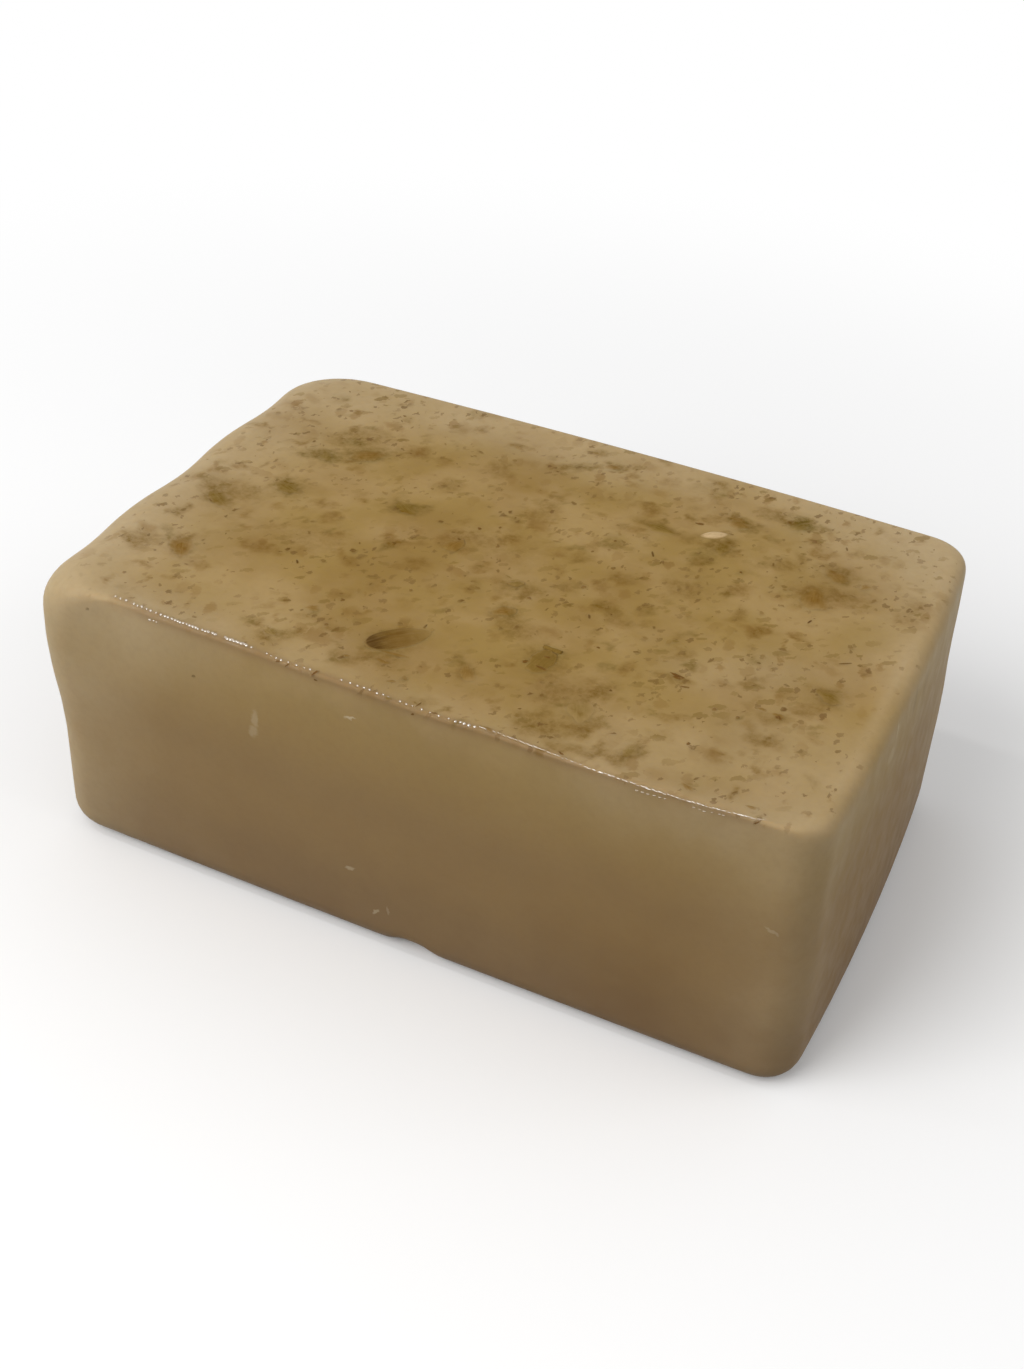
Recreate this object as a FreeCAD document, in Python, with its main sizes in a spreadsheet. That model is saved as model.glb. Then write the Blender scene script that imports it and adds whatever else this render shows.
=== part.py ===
import FreeCAD, Part
import math
import os
import Sketcher

# A hand-cast pet shampoo bar in millimetres. X runs along its length, Y from its front to its
# back and Z upwards. The origin is the middle of the flat base that the bar rests on.
# The bar is one casting. Dried leaf, petal, husk and oat were strewn on its pour face before it
# set, and each lies in a seat of its own form with its top level with the soap.

SIZES = (
    ("bar_length", 80.0, "the mould's length"),
    ("bar_width", 52.0, "and its width"),
    ("bar_height", 32.4, "flat base to the top of the lip"),
    ("waist_height", 13.0, "level of the slight waist that the mould wall left"),
    ("shoulder_height", 24.0, "level of the fullest section"),
    ("base_left", 1.0, "base section: how far each side, at its corners, stands out past half the"),
    ("base_right", 0.1, "mould's length or width, less than nothing where it falls short of it"),
    ("base_front", -0.75, ""),
    ("base_back", -0.9, ""),
    ("waist_left", 0.4, "waist section"),
    ("waist_right", -0.1, ""),
    ("waist_front", 0.0, ""),
    ("waist_back", -0.3, ""),
    ("shoulder_left", 1.3, "shoulder section"),
    ("shoulder_right", -0.65, ""),
    ("shoulder_front", 0.4, ""),
    ("shoulder_back", -0.3, ""),
    ("rim_left", 0.95, "rim section"),
    ("rim_right", -0.9, ""),
    ("rim_front", 0.6, ""),
    ("rim_back", -0.35, ""),
    ("bow_right", 0.9, "how far the middle of each side bows out past its corners"),
    ("bow_back", 0.9, ""),
    ("bow_front_base", 0.2, "the front wall is nearly straight at the base"),
    ("bow_front_rim", 1.0, "and bows more at the rim"),
    ("wave_pitch", 8.6, "from one dip of the wavy left side to the next swell"),
    ("wave_depth_base", 0.05, "depth of its dips at the base"),
    ("wave_depth_rim", 0.3, "and at the rim, where it was handled while soft"),
    ("wave_from_middle", -1.2, "place of its middle dip behind the origin"),
    ("wall_corner_front_left", 5.0, "radius of each upright corner"),
    ("wall_corner_front_right", 3.9, ""),
    ("wall_corner_back_right", 3.8, ""),
    ("wall_corner_back_left", 5.0, ""),
    ("rim_corner_front_left", 7.5, "radius of the flat rim at each corner, larger where it is worn"),
    ("rim_corner_front_right", 3.2, ""),
    ("rim_corner_back_right", 3.4, ""),
    ("rim_corner_back_left", 6.4, ""),
    ("base_round", 2.8, "radius round the base, from the bottom of the mould"),
    ("left_round", 4.6, "round-over of the rim at the worn left end"),
    ("right_round", 1.6, "round-over of the rim at the right end"),
    ("back_round", 0.9, "round-over of the rim along the back"),
    ("front_round", 0.3, "the front edge is left almost sharp"),
    ("lip_width", 0.4, "flat lip that the meniscus left round the pour face"),
    ("meniscus_width", 2.4, "slope from the lip down to the pour face"),
    ("pour_depth", 0.2, "how far the pour face sank as the soap set"),
    ("nick_radius", 6.0, "radius of the hollow in the front edge of the base"),
    ("nick_depth", 0.5, "how deep that hollow is"),
    ("nick_from_middle", 1.2, "its place to the right of the origin"),
    ("leaf_length", 3.6, "a torn leaf flake of middle size"),
    ("leaf_width", 2.2, ""),
    ("petal_length", 3.0, "a torn petal flake of middle size"),
    ("petal_width", 2.6, ""),
    ("petal_foot", 1.1, "width of its torn foot"),
    ("sliver_length", 1.4, "a sliver of stalk"),
    ("sliver_width", 0.35, ""),
    ("crumb_radius", 0.5, "a crumb of seed husk"),
    ("flake_thickness", 0.3, "thickness of every flake and crumb"),
    ("bud_length", 6.0, "the whole dried flower bud"),
    ("bud_foot_radius", 0.55, "radius of the foot where the stalk broke off"),
    ("bud_neck_radius", 1.0, "and so on along it, ring by ring"),
    ("bud_radius", 1.25, ""),
    ("bud_shoulder_radius", 1.1, ""),
    ("bud_mouth_radius", 0.75, ""),
    ("bud_tip_radius", 0.35, "radius of its closed tip"),
    ("bud_stand", 0.3, "how far its flank stands out of the pour face"),
    ("oat_length", 3.2, "the rolled oat"),
    ("oat_width", 1.5, ""),
    ("oat_thickness", 0.7, ""),
    ("oat_stand", 0.2, "how far it stands out of the pour face"),
    ("oat_crease", 0.25, "width of the crease along its middle"),
    ("fold_length", 4.4, "the folded leaf"),
    ("fold_width", 3.0, ""),
    ("fold_roll_radius", 0.4, "radius of its rolled foot"),
    ("fold_roll_stand", 0.25, "how far the roll stands out of the pour face"),
)

SIDES = ("front", "right", "back", "left")
CORNERS = ("front_right", "back_right", "back_left", "front_left")

# Steps of the loft round the rim, round the base edge, and up the wall from one named section to
# the next. The loft is ruled, and these are fine enough that its strips don't show.
RIM_STEPS = 10
BASE_STEPS = 6
WALL_STEPS = 3
# Where the left side turns from dip to swell, in pitches from its middle dip, back to front.
WAVE_TURNS = (1.5, 0.5, -0.5, -1.5)

# Where each strewn piece lies: its place along the bar and across it, as shares of the rim's
# reach on that side, its turn in degrees, and its size beside the sheet's middle size.
LEAF_PLACES = (
    (0.563, 0.786, 60, 0.80),
    (0.421, 0.474, 100, 0.95),
    (0.244, 0.486, -8, 1.00),
    (-0.360, 0.105, -30, 1.00),
    (-0.792, -0.201, -28, 1.15),
    (-0.665, 0.006, -20, 1.10),
    (0.857, -0.268, -20, 1.00),
    (-0.665, 0.314, -50, 0.75),
    (0.375, -0.757, -65, 1.20),
    (0.529, -0.872, 86, 0.75),
    (0.027, -0.167, 30, 0.50),
    (-0.370, -0.868, -30, 0.60),
)
PETAL_PLACES = (
    (0.703, 0.307, -80, 1.40),
    (-0.570, 0.406, 35, 1.30),
    (-0.736, -0.569, -60, 1.25),
    (0.419, 0.676, -10, 0.95),
    (0.719, 0.504, -40, 1.05),
    (0.091, -0.753, -65, 0.80),
    (-0.177, -0.043, 80, 0.90),
    (-0.336, -0.674, 20, 0.55),
    (0.011, 0.847, 15, 0.70),
    (0.052, -0.355, 45, 0.80),
    (0.801, 0.482, 70, 0.50),
    (-0.248, 0.793, -20, 0.50),
)
SLIVER_PLACES = (
    (0.260, 0.310, -60, 1.10),
    (0.234, -0.216, -65, 0.75),
    (0.698, 0.733, -65, 0.70),
    (-0.563, -0.896, -60, 0.70),
    (0.724, 0.124, 75, 0.70),
    (-0.082, -0.558, -85, 0.75),
    (-0.477, -0.430, -55, 0.70),
    (0.834, -0.075, 35, 1.40),
)
CRUMB_PLACES = (
    (-0.733, 0.714, 10, 1.20),
    (-0.594, 0.793, 40, 0.95),
    (-0.789, -0.813, 70, 1.00),
    (-0.760, -0.870, 20, 0.70),
    (-0.275, -0.738, 0, 0.95),
    (-0.292, -0.577, 50, 1.00),
    (-0.175, -0.400, 30, 1.00),
    (-0.082, 0.029, 60, 0.95),
    (-0.158, 0.113, 10, 1.10),
    (-0.116, 0.162, 45, 0.80),
    (0.134, 0.185, 25, 0.90),
    (0.211, 0.113, 55, 1.30),
    (0.165, 0.303, 15, 0.90),
    (0.632, -0.746, 65, 1.00),
    (0.691, -0.921, 5, 0.80),
    (0.083, -0.231, 35, 1.00),
    (0.180, -0.064, 75, 1.40),
    (0.314, -0.392, 20, 0.80),
    (0.778, -0.464, 50, 1.60),
    (0.521, -0.419, 0, 1.80),
    (0.639, -0.528, 30, 1.20),
    (0.696, -0.532, 60, 1.00),
    (0.501, 0.339, 10, 0.80),
)
BUD_PLACE = (-0.104, -0.682, 48)
OAT_PLACE = (0.380, 0.546, 36)
FOLD_PLACE = (0.221, -0.551, 86)

CRUMB_SIDES = 6
# The rings of the bud: how far along it each one is, and its radius.
BUD_RINGS = (
    (0, "bud_foot_radius"),
    (0.17, "bud_neck_radius"),
    (0.42, "bud_radius"),
    (0.7, "bud_shoulder_radius"),
    (0.92, "bud_mouth_radius"),
    (1, "bud_tip_radius"),
)

document = FreeCAD.newDocument("pet_shampoo_bar")


class Size:
    """A length with its value and the expression that binds it to the sheet."""

    def __init__(self, value, text=None):
        self.value = value
        self.text = str(value) if text is None else text

    def __add__(self, other):
        return Size(self.value + other.value, f"({self.text} + {other.text})")

    def __sub__(self, other):
        return Size(self.value - other.value, f"({self.text} - {other.text})")

    def __mul__(self, factor):
        factor = factor if isinstance(factor, Size) else Size(factor)
        return Size(self.value * factor.value, f"({self.text} * {factor.text})")

    def __truediv__(self, other):
        return Size(self.value / other.value, f"({self.text} / {other.text})")

    def __neg__(self):
        return self * -1


def fill_sheet():
    """Write the driving sizes into the document's spreadsheet."""
    sheet = document.addObject("Spreadsheet::Sheet", "sizes")
    for row, (alias, value, note) in enumerate(SIZES, start=1):
        sheet.set(f"A{row}", note)
        sheet.set(f"B{row}", str(value))
        sheet.setAlias(f"B{row}", alias)
    document.recompute()
    return sheet


sheet = fill_sheet()


def size(alias):
    """One size of the sheet."""
    return Size(float(sheet.get(alias)), f"sizes.{alias}")


def bind(item, name, length):
    """Tie one property of an object to the sheet."""
    item.setExpression(name, length.text)


def kept(name, lengths):
    """Keep worked-out lengths in a set of their own, so that what follows can name them."""
    store = document.addObject("App::VarSet", name)
    for title, length in lengths.items():
        store.addProperty("App::PropertyFloat", title)
        store.setExpression(title, length.text)
    return {title: Size(length.value, f"{store.Name}.{title}") for title, length in lengths.items()}


def origin_plane(body, role):
    """One of the origin planes of a body."""
    return next(plane for plane in body.Origin.OriginFeatures if plane.Role == role)


def new_sketch(body, name, role="XY_Plane"):
    """An empty sketch on an origin plane of its own body."""
    sketch = body.newObject("Sketcher::SketchObject", name)
    sketch.AttachmentSupport = [(origin_plane(body, role), "")]
    sketch.MapMode = "FlatFace"
    return sketch


def pin(sketch, axis, edge, end, length, name):
    """Hold one end of an edge at a distance from the sketch's origin along one axis."""
    index = sketch.addConstraint(
        Sketcher.Constraint(f"Distance{axis}", -1, 1, edge, end, length.value))
    sketch.renameConstraint(index, name)
    bind(sketch, f"Constraints.{name}", length)


def pin_point(sketch, edge, end, across, up, name):
    """Hold one end of an edge at a place measured from the sketch's origin."""
    pin(sketch, "X", edge, end, across, f"{name}_x")
    pin(sketch, "Y", edge, end, up, f"{name}_y")


def set_radius(sketch, edge, length, name):
    """Hold the radius of an arc."""
    index = sketch.addConstraint(Sketcher.Constraint("Radius", edge, length.value))
    sketch.renameConstraint(index, name)
    bind(sketch, f"Constraints.{name}", length)


def close_outline(sketch):
    """Join the end of each edge to the start of the next."""
    edges = list(range(sketch.GeometryCount))
    for edge, following in zip(edges, edges[1:] + edges[:1]):
        sketch.addConstraint(Sketcher.Constraint("Coincident", edge, 2, following, 1))


def side_reach(section, side):
    """Reach of one side from the origin at a named section, at its corners."""
    across = "bar_length" if side in ("left", "right") else "bar_width"
    return size(across) * 0.5 + size(f"{section}_{side}")


def bow_radius(half_length, bow):
    """Radius of an arc over a chord of twice the half length that bows out by the bow."""
    value = (half_length.value ** 2 + bow.value ** 2) / (2 * bow.value)
    return Size(value, f"(({half_length.text})^2 + ({bow.text})^2) / (2 * {bow.text})")


def drawn_in(radius, depth):
    """How far a rounded edge has drawn in from the wall, at a depth from the face it meets."""
    value = radius.value - math.sqrt(radius.value ** 2 - max(radius.value - depth.value, 0) ** 2)
    rest = f"max({radius.text} - {depth.text}; 0)"
    return Size(value, f"({radius.text} - sqrt(({radius.text})^2 - {rest}^2))")


def between(low, high, share):
    """A size some share of the way from one size to another."""
    return low + (high - low) * share


def flat_point(across, up):
    """A point on a sketch's plane."""
    return FreeCAD.Vector(across.value, up.value, 0)


class Arc:
    """One arc of an outline that is walked anticlockwise, as its circle and its two ends."""

    def __init__(self, name, radius, centre, hollow=False):
        self.name = name
        self.radius = radius
        self.centre = centre
        self.hollow = hollow
        self.start = None
        self.end = None
        self.entry, self.exit = (2, 1) if hollow else (1, 2)

    def touch(self, point):
        """The point of the circle that is nearest to another point."""
        offset = point - self.centre
        return self.centre + offset * (self.radius.value / offset.Length)

    def distance_to_corner(self, radius):
        """How far the centre of a corner that touches the arc lies from the arc's own."""
        return self.radius.value + radius if self.hollow else self.radius.value - radius

    def geometry(self):
        """The arc for a sketch, where it runs anticlockwise round its own centre."""
        ends = (self.end, self.start) if self.hollow else (self.start, self.end)
        angles = [math.atan2(point.y - self.centre.y, point.x - self.centre.x) for point in ends]
        if angles[1] < angles[0]:
            angles[1] += 2 * math.pi
        circle = Part.Circle(self.centre, FreeCAD.Vector(0, 0, 1), self.radius.value)
        return Part.ArcOfCircle(circle, *angles)


def bowed_sides(reach, bow):
    """The front, right and back arcs of an outline, and the places of their centres."""
    half_length = (reach["left"] + reach["right"]) * 0.5
    half_width = (reach["front"] + reach["back"]) * 0.5
    middle_across = (reach["right"] - reach["left"]) * 0.5
    middle_along = (reach["back"] - reach["front"]) * 0.5
    radius = {
        "front": bow_radius(half_length, bow["front"]),
        "right": bow_radius(half_width, bow["right"]),
        "back": bow_radius(half_length, bow["back"]),
    }
    places = {
        "front": (middle_across, radius["front"] - reach["front"] - bow["front"]),
        "right": (reach["right"] + bow["right"] - radius["right"], middle_along),
        "back": (middle_across, reach["back"] + bow["back"] - radius["back"]),
    }
    return [Arc(side, radius[side], flat_point(*place)) for side, place in places.items()], places


def wavy_side(reach, wave):
    """The left side as dips and swells by turns from back to front, and where they meet."""
    radius = bow_radius(size("wave_pitch") * 0.5, wave)
    turns = [size("wave_from_middle") + size("wave_pitch") * place for place in WAVE_TURNS]
    arcs = []
    for number in range(len(turns) + 1):
        hollow = number % 2 == 0
        stand = radius.value - wave.value
        across = -reach.value - stand if hollow else -reach.value + stand
        along = turns[0].value + size("wave_pitch").value * (0.5 - number)
        arcs.append(Arc(f"left_{number + 1}", radius, FreeCAD.Vector(across, along, 0), hollow))
    for arc, following, turn in zip(arcs, arcs[1:], turns):
        arc.end = following.start = flat_point(-reach, turn)
    return arcs, turns


def corner_between(first, second, name, corner, reach):
    """The arc that rounds a corner, which also trims the two sides to where it touches them."""
    radius = corner[name].value
    across = reach["back"].value if "back" in name else -reach["front"].value
    along = reach["right"].value if "right" in name else -reach["left"].value
    sharp = FreeCAD.Vector(along, across, 0)
    span = second.centre - first.centre
    from_first = first.distance_to_corner(radius)
    from_second = second.distance_to_corner(radius)
    along_span = (from_first ** 2 - from_second ** 2 + span.Length ** 2) / (2 * span.Length)
    off_span = math.sqrt(from_first ** 2 - along_span ** 2)
    foot = first.centre + span * (along_span / span.Length)
    offset = FreeCAD.Vector(-span.y, span.x, 0) * (off_span / span.Length)
    centre = min((foot + offset, foot - offset), key=lambda point: (point - sharp).Length)
    arc = Arc(name, corner[name], centre)
    arc.start = first.end = first.touch(centre)
    arc.end = second.start = second.touch(centre)
    return arc


def moulded_outline(body, name, height, reach, corner):
    """Sketch one level of the casting.

    The front, right and back bow outwards, the left side is a chain of dips and swells, and
    each corner runs smoothly into both of its sides.
    """
    share = height / size("bar_height")
    level = kept(f"{name}_level", {
        "height": height,
        "wave": between(size("wave_depth_base"), size("wave_depth_rim"), share),
        "bow": between(size("bow_front_base"), size("bow_front_rim"), share),
    })
    reach = kept(f"{name}_reach", reach)
    bow = {"front": level["bow"], "right": size("bow_right"), "back": size("bow_back")}
    (front, right, back), centres = bowed_sides(reach, bow)
    left, turns = wavy_side(reach["left"], level["wave"])
    walk = [
        front,
        corner_between(front, right, "front_right", corner, reach),
        right,
        corner_between(right, back, "back_right", corner, reach),
        back,
        corner_between(back, left[0], "back_left", corner, reach),
        *left,
        corner_between(left[-1], front, "front_left", corner, reach),
    ]
    sketch = new_sketch(body, name)
    bind(sketch, "AttachmentOffset.Base.z", level["height"])
    for arc in walk:
        sketch.addGeometry(arc.geometry(), False)
    for number, arc in enumerate(walk):
        following = (number + 1) % len(walk)
        held = arc in left[1:-1] and walk[following] in left[1:-1]
        joint = "Coincident" if held else "Tangent"
        sketch.addConstraint(
            Sketcher.Constraint(joint, number, arc.exit, following, walk[following].entry))
    for number, arc in enumerate(walk):
        set_radius(sketch, number, arc.radius, f"{arc.name}_radius")
        if arc.name in centres:
            pin_point(sketch, number, 3, *centres[arc.name], f"{arc.name}_centre")
    for number, turn in enumerate(turns):
        arc = left[number]
        pin_point(sketch, walk.index(arc), arc.exit, -reach["left"], turn, f"{arc.name}_end")
    return sketch


def eased(share):
    """A share that starts and ends gently."""
    return share * share * (Size(3) - share * 2)


def wall_reach(height):
    """Reach of each side at a height, eased from one named section to the next."""
    if height.value < size("waist_height").value:
        low, high, foot, head = "base", "waist", Size(0), size("waist_height")
    elif height.value < size("shoulder_height").value:
        low, high, foot, head = "waist", "shoulder", size("waist_height"), size("shoulder_height")
    else:
        low, high, foot, head = "shoulder", "rim", size("shoulder_height"), size("bar_height")
    share = eased((height - foot) / (head - foot))
    return {side: between(side_reach(low, side), side_reach(high, side), share) for side in SIDES}


def rim_section(body, step):
    """One section of the rounded rim, some steps round it from the wall to the flat top."""
    angle = 90 * step / RIM_STEPS
    depth = size("left_round") * (1 - math.sin(math.radians(angle)))
    height = size("bar_height") - depth
    drawn = {side: drawn_in(size(f"{side}_round"), depth) for side in SIDES}
    wall = wall_reach(height)
    reach = {side: wall[side] - drawn[side] for side in SIDES}
    corner = {}
    for name in CORNERS:
        end = name.split("_")[1]
        turned = drawn[end] / size(f"{end}_round")
        corner[name] = between(size(f"wall_corner_{name}"), size(f"rim_corner_{name}"), turned)
    return moulded_outline(body, f"rim_{step}", height, reach, corner)


def base_section(body, step):
    """One section of the rounded base edge, some steps round it from the wall to the base."""
    angle = 90 * step / BASE_STEPS
    height = size("base_round") * (1 - math.sin(math.radians(angle)))
    drawn = drawn_in(size("base_round"), height)
    wall = wall_reach(height)
    reach = {side: wall[side] - drawn for side in SIDES}
    corner = {name: size(f"wall_corner_{name}") - drawn for name in CORNERS}
    return moulded_outline(body, f"base_{step}", height, reach, corner)


def wall_sections(body):
    """The sections of the wall between its two rounded edges, from the top down."""
    stops = (
        size("bar_height") - size("left_round"),
        size("shoulder_height"),
        size("waist_height"),
        size("base_round"),
    )
    heights = [between(high, low, step / WALL_STEPS)
               for high, low in zip(stops, stops[1:]) for step in range(WALL_STEPS)]
    corner = {name: size(f"wall_corner_{name}") for name in CORNERS}
    return [moulded_outline(body, f"wall_{number}", height, wall_reach(height), corner)
            for number, height in enumerate(heights[1:], start=1)]


def loft_down(body, name, sections):
    """Loft a body through its sections, which are given from the top down."""
    document.recompute()
    loft = body.newObject("PartDesign::AdditiveLoft", name)
    loft.Ruled = True
    loft.Profile = sections[0]
    loft.Sections = sections[1:]
    document.recompute()
    return body


def cast_block():
    """The casting before its pour face sank: one loft from the flat rim to the flat base."""
    body = document.addObject("PartDesign::Body", "cast_block")
    sections = [rim_section(body, step) for step in reversed(range(RIM_STEPS + 1))]
    sections += wall_sections(body)
    sections += [base_section(body, step) for step in range(BASE_STEPS + 1)]
    return loft_down(body, "walls", sections)


def pour_face():
    """Height of the sunken pour face."""
    return size("bar_height") - size("pour_depth")


def pour_hollow():
    """The slight hollow of the pour face, with the meniscus sloping up to the lip.

    The slope goes on as far above the rim as it goes below, so that it opens cleanly.
    """
    body = document.addObject("PartDesign::Body", "pour_hollow")
    sections = []
    for name, height, slope in (
        ("above_rim", size("bar_height") + size("pour_depth"), -size("meniscus_width")),
        ("pour_floor", pour_face(), size("meniscus_width")),
    ):
        inset = size("lip_width") + slope
        reach = {side: side_reach("rim", side) - size(f"{side}_round") - inset for side in SIDES}
        corner = {name: size(f"rim_corner_{name}") - inset for name in CORNERS}
        sections.append(moulded_outline(body, name, height, reach, corner))
    return loft_down(body, "hollow", sections)


def pressed_sphere(name, radius, place):
    """A ball that presses a shallow hollow at a place."""
    ball = document.addObject("Part::Sphere", name)
    bind(ball, "Radius", radius)
    for axis, length in zip("xyz", place):
        bind(ball, f"Placement.Base.{axis}", length)
    return ball


def base_nick():
    """The hollow in the front edge of the base."""
    slant = math.cos(math.radians(45))
    base_cut = size("base_round") * (1 - slant)
    stand_off = (size("nick_radius") - size("nick_depth")) * slant
    return pressed_sphere("base_nick", size("nick_radius"), (
        size("nick_from_middle"),
        -(side_reach("base", "front") - base_cut + stand_off),
        base_cut - stand_off,
    ))


def lay(item, along, across, height, turn):
    """Put a strewn piece at its place on the pour face."""
    item.Placement = FreeCAD.Placement(
        FreeCAD.Vector(), FreeCAD.Rotation(FreeCAD.Vector(0, 0, 1), turn))
    bind(item, "Placement.Base.x", side_reach("rim", "right" if along > 0 else "left") * along)
    bind(item, "Placement.Base.y", side_reach("rim", "back" if across > 0 else "front") * across)
    bind(item, "Placement.Base.z", height)


def padded(body, sketch, thickness):
    """Give a flake its thickness."""
    document.recompute()
    pad = body.newObject("PartDesign::Pad", "thickness")
    pad.Profile = sketch
    bind(pad, "Length", thickness)


def leaf_outline(sketch, length, width):
    """A leaf's outline: two arcs that meet in a point at each end."""
    half = length * 0.5
    bow = width * 0.5
    tips = (flat_point(-half, half * 0), flat_point(half, half * 0))
    low, high = flat_point(half * 0, -bow), flat_point(half * 0, bow)
    sketch.addGeometry(Part.ArcOfCircle(tips[0], low, tips[1]), False)
    sketch.addGeometry(Part.ArcOfCircle(tips[1], high, tips[0]), False)
    close_outline(sketch)
    pin_point(sketch, 0, 1, -half, half * 0, "left_tip")
    pin_point(sketch, 1, 1, half, half * 0, "right_tip")
    set_radius(sketch, 0, bow_radius(half, bow), "low_edge")
    set_radius(sketch, 1, bow_radius(half, bow), "high_edge")


def petal_outline(sketch, length, width, foot):
    """A petal's outline: a torn foot, two straight sides and a round end."""
    half = length * 0.5
    bow = width * 0.25
    shoulder = half - bow
    corners = (
        (-half, -(foot * 0.5)),
        (shoulder, -(width * 0.5)),
        (shoulder, width * 0.5),
        (-half, foot * 0.5),
    )
    points = [flat_point(*corner) for corner in corners]
    sketch.addGeometry(Part.LineSegment(points[0], points[1]), False)
    sketch.addGeometry(Part.ArcOfCircle(points[1], flat_point(half, half * 0), points[2]), False)
    sketch.addGeometry(Part.LineSegment(points[2], points[3]), False)
    sketch.addGeometry(Part.LineSegment(points[3], points[0]), False)
    for edge, corner in enumerate(corners):
        pin_point(sketch, edge, 1, *corner, f"corner_{edge + 1}")
    set_radius(sketch, 1, bow_radius(width * 0.5, bow), "round_end")
    close_outline(sketch)


def flat_flakes(label, places, outline):
    """A group of flat flakes of one kind, each let into the pour face."""
    flakes = []
    for number, (along, across, turn, scale) in enumerate(places, start=1):
        body = document.addObject("PartDesign::Body", f"{label}_{number}")
        sketch = new_sketch(body, "outline")
        outline(sketch, scale)
        padded(body, sketch, size("flake_thickness"))
        lay(body, along, across, pour_face() - size("flake_thickness"), turn)
        flakes.append(body)
    return grouped(label, flakes)


def grouped(label, solids):
    """Separate solids of one kind, kept in one file."""
    group = document.addObject("Part::Compound", label)
    group.Links = solids
    return group


def leaf_flakes():
    """Torn olive-green leaf flakes."""
    return flat_flakes("leaf_flakes", LEAF_PLACES, lambda sketch, scale: leaf_outline(
        sketch, size("leaf_length") * scale, size("leaf_width") * scale))


def petal_flakes():
    """Torn brown petal flakes."""
    return flat_flakes("petal_flakes", PETAL_PLACES, lambda sketch, scale: petal_outline(
        sketch, size("petal_length") * scale, size("petal_width") * scale, size("petal_foot") * scale))


def stalk_slivers():
    """Dark slivers of stalk."""
    slivers = []
    for number, (along, across, turn, scale) in enumerate(SLIVER_PLACES, start=1):
        sliver = document.addObject("Part::Box", f"stalk_sliver_{number}")
        bind(sliver, "Length", size("sliver_length") * scale)
        bind(sliver, "Width", size("sliver_width"))
        bind(sliver, "Height", size("flake_thickness"))
        lay(sliver, along, across, pour_face() - size("flake_thickness"), turn)
        slivers.append(sliver)
    return grouped("stalk_slivers", slivers)


def husk_crumbs():
    """Dark crumbs of seed husk."""
    crumbs = []
    for number, (along, across, turn, scale) in enumerate(CRUMB_PLACES, start=1):
        crumb = document.addObject("Part::Prism", f"husk_crumb_{number}")
        crumb.Polygon = CRUMB_SIDES
        bind(crumb, "Circumradius", size("crumb_radius") * scale)
        bind(crumb, "Height", size("flake_thickness"))
        lay(crumb, along, across, pour_face() - size("flake_thickness"), turn)
        crumbs.append(crumb)
    return grouped("husk_crumbs", crumbs)


def flower_bud():
    """The whole dried bud, lying on its side and sunk into the soap."""
    body = document.addObject("PartDesign::Body", "flower_bud")
    sketch = new_sketch(body, "profile", "XZ_Plane")
    length = size("bud_length")
    rings = [(length * (share - 0.5), size(radius)) for share, radius in BUD_RINGS]
    corners = [(rings[-1][0], Size(0))] + rings[::-1] + [(rings[0][0], Size(0))]
    points = [flat_point(*corner) for corner in corners]
    for start, end in zip(points, points[1:] + points[:1]):
        sketch.addGeometry(Part.LineSegment(start, end), False)
    for edge, corner in enumerate(corners):
        pin_point(sketch, edge, 1, *corner, f"corner_{edge + 1}")
    close_outline(sketch)
    document.recompute()
    turned = body.newObject("PartDesign::Revolution", "husk")
    turned.Profile = sketch
    turned.ReferenceAxis = (sketch, ["H_Axis"])
    turned.Angle = 360
    lay(body, *BUD_PLACE[:2], pour_face() - size("bud_radius") + size("bud_stand"), BUD_PLACE[2])
    return body


def oat_flake():
    """One rolled oat, with the crease along its middle."""
    oval = document.addObject("PartDesign::Body", "oat_oval")
    sketch = new_sketch(oval, "outline")
    leaf_outline(sketch, size("oat_length"), size("oat_width"))
    padded(oval, sketch, size("oat_thickness"))
    crease = document.addObject("Part::Cylinder", "oat_crease_line")
    bind(crease, "Radius", size("oat_crease") * 0.5)
    bind(crease, "Height", size("oat_length"))
    crease.Placement = FreeCAD.Placement(
        FreeCAD.Vector(), FreeCAD.Rotation(FreeCAD.Vector(0, 1, 0), 90))
    bind(crease, "Placement.Base.x", -(size("oat_length") * 0.5))
    bind(crease, "Placement.Base.z", size("oat_thickness"))
    creased = document.addObject("Part::Cut", "oat_flake")
    creased.Base = oval
    creased.Tool = crease
    lay(creased, *OAT_PLACE[:2], pour_face() + size("oat_stand") - size("oat_thickness"), OAT_PLACE[2])
    return creased


def folded_leaf():
    """A leaf whose foot rolled up as it dried."""
    body = document.addObject("PartDesign::Body", "folded_blade")
    sketch = new_sketch(body, "outline")
    petal_outline(sketch, size("fold_length"), size("fold_width"), size("fold_width") * 0.8)
    padded(body, sketch, size("flake_thickness"))
    roll = document.addObject("Part::Cylinder", "folded_roll")
    bind(roll, "Radius", size("fold_roll_radius"))
    bind(roll, "Height", size("fold_width") * 0.8)
    roll.Placement = FreeCAD.Placement(
        FreeCAD.Vector(), FreeCAD.Rotation(FreeCAD.Vector(1, 0, 0), 90))
    bind(roll, "Placement.Base.x", -(size("fold_length") * 0.5))
    bind(roll, "Placement.Base.y", size("fold_width") * 0.4)
    roll_rise = size("flake_thickness") + size("fold_roll_stand") - size("fold_roll_radius")
    bind(roll, "Placement.Base.z", roll_rise)
    leaf = document.addObject("Part::Fuse", "folded_leaf")
    leaf.Base = body
    leaf.Tool = roll
    lay(leaf, *FOLD_PLACE[:2], pour_face() - size("flake_thickness"), FOLD_PLACE[2])
    return leaf


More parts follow.
